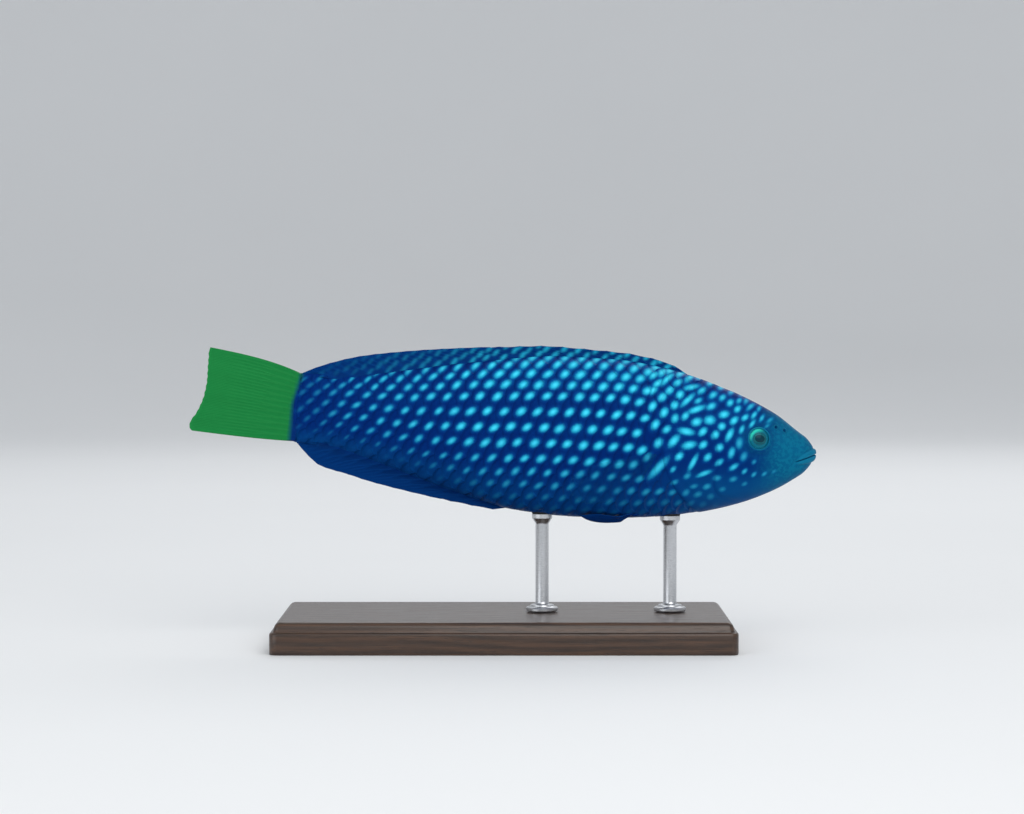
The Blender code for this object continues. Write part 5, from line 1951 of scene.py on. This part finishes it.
@dataclass
class Studio:
    """Pale floor that sweeps up behind, soft lights and the camera at the photograph's angle."""

    image: tuple[int, int] = (1024, 814)
    pixel: float = 1 / 3.5 * MM  # what one pixel of the picture spans at the fish
    aim: tuple[float, float, float] = (2.24 * MM, 0.0, 67.66 * MM)
    lens: float = 100.0
    sensor: float = 36.0
    elevation: float = math.radians(2.0)
    floor_flat: float = 1.3
    floor_bend: float = 1.2
    air: Colour = (0.93, 0.96, 1.0)
    air_strength: float = 0.52
    turns: int = 96

    def floor(self, finish: Material) -> None:
        """The round floor, which sweeps up into a low wall on all sides.

        Args:
            finish: its material.
        """
        bend = np.linspace(0, math.pi / 2, 24)
        out = np.concatenate([[1 * MM, 0.4], self.floor_flat + self.floor_bend * np.sin(bend)])
        up = np.concatenate([[0, 0], self.floor_bend * (1 - np.cos(bend))])
        angle = np.arange(self.turns) * TURN / self.turns
        points = np.stack([out[:, None] * np.cos(angle), out[:, None] * np.sin(angle),
                           np.broadcast_to(up[:, None], (len(up), self.turns))], axis=-1)
        faces, _ = grid(len(out), self.turns, round_trip=True, flip=True)
        mesh = bpy.data.meshes.new("floor")
        mesh.from_pydata(points.reshape(-1, 3).tolist(), [], faces.tolist())
        mesh.shade_smooth()
        mesh.materials.append(finish)
        made = bpy.data.objects.new("floor", mesh)
        bpy.context.scene.collection.objects.link(made)

    def light(self, name: str, place: tuple[float, float, float], size: float, power: float,
              tint: Colour) -> None:
        """One large soft lamp that looks at the fish.

        Args:
            name: its name.
            place: where it is.
            size: its width.
            power: in watts.
            tint: its colour.
        """
        lamp = bpy.data.lights.new(name, "AREA")
        lamp.size, lamp.energy, lamp.color = size, power, tint
        made = bpy.data.objects.new(name, lamp)
        made.location = place
        made.rotation_euler = (Vector(self.aim) - Vector(place)).to_track_quat("-Z", "Y").to_euler()
        bpy.context.scene.collection.objects.link(made)

    def build(self, finish: Material) -> None:
        """Sets the floor, the lights, the world and the camera.

        Args:
            finish: the floor's material.
        """
        scene = bpy.context.scene
        self.floor(finish)
        self.light("key_light", (0.35, -0.95, 0.85), 1.0, 8.5, (1.0, 0.99, 0.97))
        self.light("fill_light", (-0.95, -0.80, 0.35), 1.0, 4.0, (0.95, 0.98, 1.0))
        self.light("back_light", (0.2, 0.85, 0.9), 0.8, 3.5, (1.0, 1.0, 1.0))
        world = bpy.data.worlds.new("studio_air")
        world.use_nodes = True
        air = world.node_tree.nodes["Background"].inputs
        air["Color"].default_value = (*self.air, 1.0)
        air["Strength"].default_value = self.air_strength
        scene.world = world
        scene.view_settings.view_transform = "Standard"
        camera = bpy.data.cameras.new("camera")
        camera.lens, camera.sensor_width = self.lens, self.sensor
        distance = self.image[0] * self.pixel * self.lens / self.sensor
        camera.clip_start, camera.clip_end = 0.05, 10.0
        made = bpy.data.objects.new("camera", camera)
        back = Vector((0, -math.cos(self.elevation), math.sin(self.elevation)))
        made.location = Vector(self.aim) + back * distance
        made.rotation_euler = (math.pi / 2 - self.elevation, 0, 0)
        scene.collection.objects.link(made)
        scene.camera = made


DARK_FIN = FinFinish("dark_fin_finish", (0.0004, 0.022, 0.135), (0.0006, 0.030, 0.165), (0.001, 0.026, 0.14),
                     (0.0005, 0.032, 0.185), streak=(0.02, 0.50, 0.72), streak_share=0.9)
# its root colour is painted shade at the base of the anal and pelvic fins
PLAIN_FIN = FinFinish("plain_fin_finish", (0.0004, 0.022, 0.130), (0.0006, 0.028, 0.152),
                      (0.001, 0.028, 0.14), (0.0003, 0.0165, 0.142))
CLEAR_FIN = FinFinish("clear_fin_finish", (0.001, 0.050, 0.22), (0.002, 0.070, 0.26), (0.004, 0.09, 0.28),
                      (0.0006, 0.035, 0.190), clear_membrane=0.07, clear_ray=0.20)
YELLOW_FIN = FinFinish("yellow_fin_finish", (0.010, 0.188, 0.043), (0.014, 0.204, 0.048),
                       (0.014, 0.21, 0.05), (0.0003, 0.0165, 0.142), roughness=0.55, relief=0.15,
                       sheen=LEAF_SHEEN)


def build_fins(body: Body) -> None:
    """Builds the seven fins.

    Args:
        body: the form they grow from.
    """
    dark, plain, clear = DARK_FIN.material(), PLAIN_FIN.material(), CLEAR_FIN.material()
    MedianFin(
        body, "dorsal_fin", 1, (24.2 * PERCENT, 96.5 * PERCENT),
        ((24.0, 12.2), (28.0, 13.8), (32.0, 15.0), (39.4, 15.8), (50.9, 15.9), (62.2, 14.9), (73.6, 13.5),
         (81.3, 12.3), (88.8, 10.8), (94.4, 9.0), (98.2, 7.35), (99.8, 6.5)),
        (4.5 * PERCENT, 9.5 * PERCENT, 3.3 * PERCENT), 9, 12, dashes=0.95,
    ).build(dark)
    MedianFin(
        body, "anal_fin", -1, (56.5 * PERCENT, 96.5 * PERCENT),
        ((57.0, -16.3), (61.0, -16.3), (65.4, -15.9), (73.2, -14.9), (84.9, -13.0), (89.6, -11.9),
         (92.7, -11.3),
         (94.8, -10.7), (96.7, -9.4), (99.8, -6.5)),
        (4.5 * PERCENT, 10.0 * PERCENT, 3.3 * PERCENT), 3, 12,
    ).build(plain)
    TailFin().build(body, YELLOW_FIN.material())
    for side in Side:
        PectoralFin(body, side).build(clear)
        PelvicFin(body, side).build(plain)


def main() -> None:
    """Builds every piece in order."""
    logging.basicConfig(level=logging.INFO, format="%(message)s")
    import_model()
    body = Body()
    rows = SpotRows()
    chart = FlankChart(body, rows)
    spots = Spots(chart)
    skin = Skin(body, chart, spots)
    spotted = SpottedFinish().material()
    skin.build(spotted)
    rim_finish, eye_finish = EyeRimFinish().material(), EyeFinish().material()
    for side in Side:
        ScaleCoat(chart, spots, skin, side).build(spotted)
        Eye(skin, side).build(eye_finish, rim_finish)
    NostrilCollar(skin).build(rim_finish)
    build_fins(body)
    Stand(body).build(WoodFinish().material(), SteelFinish().material(), FeltFinish().material())
    Studio().build(FloorFinish().material())
    bpy.context.view_layer.update()


if __name__ == "__main__":
    main()
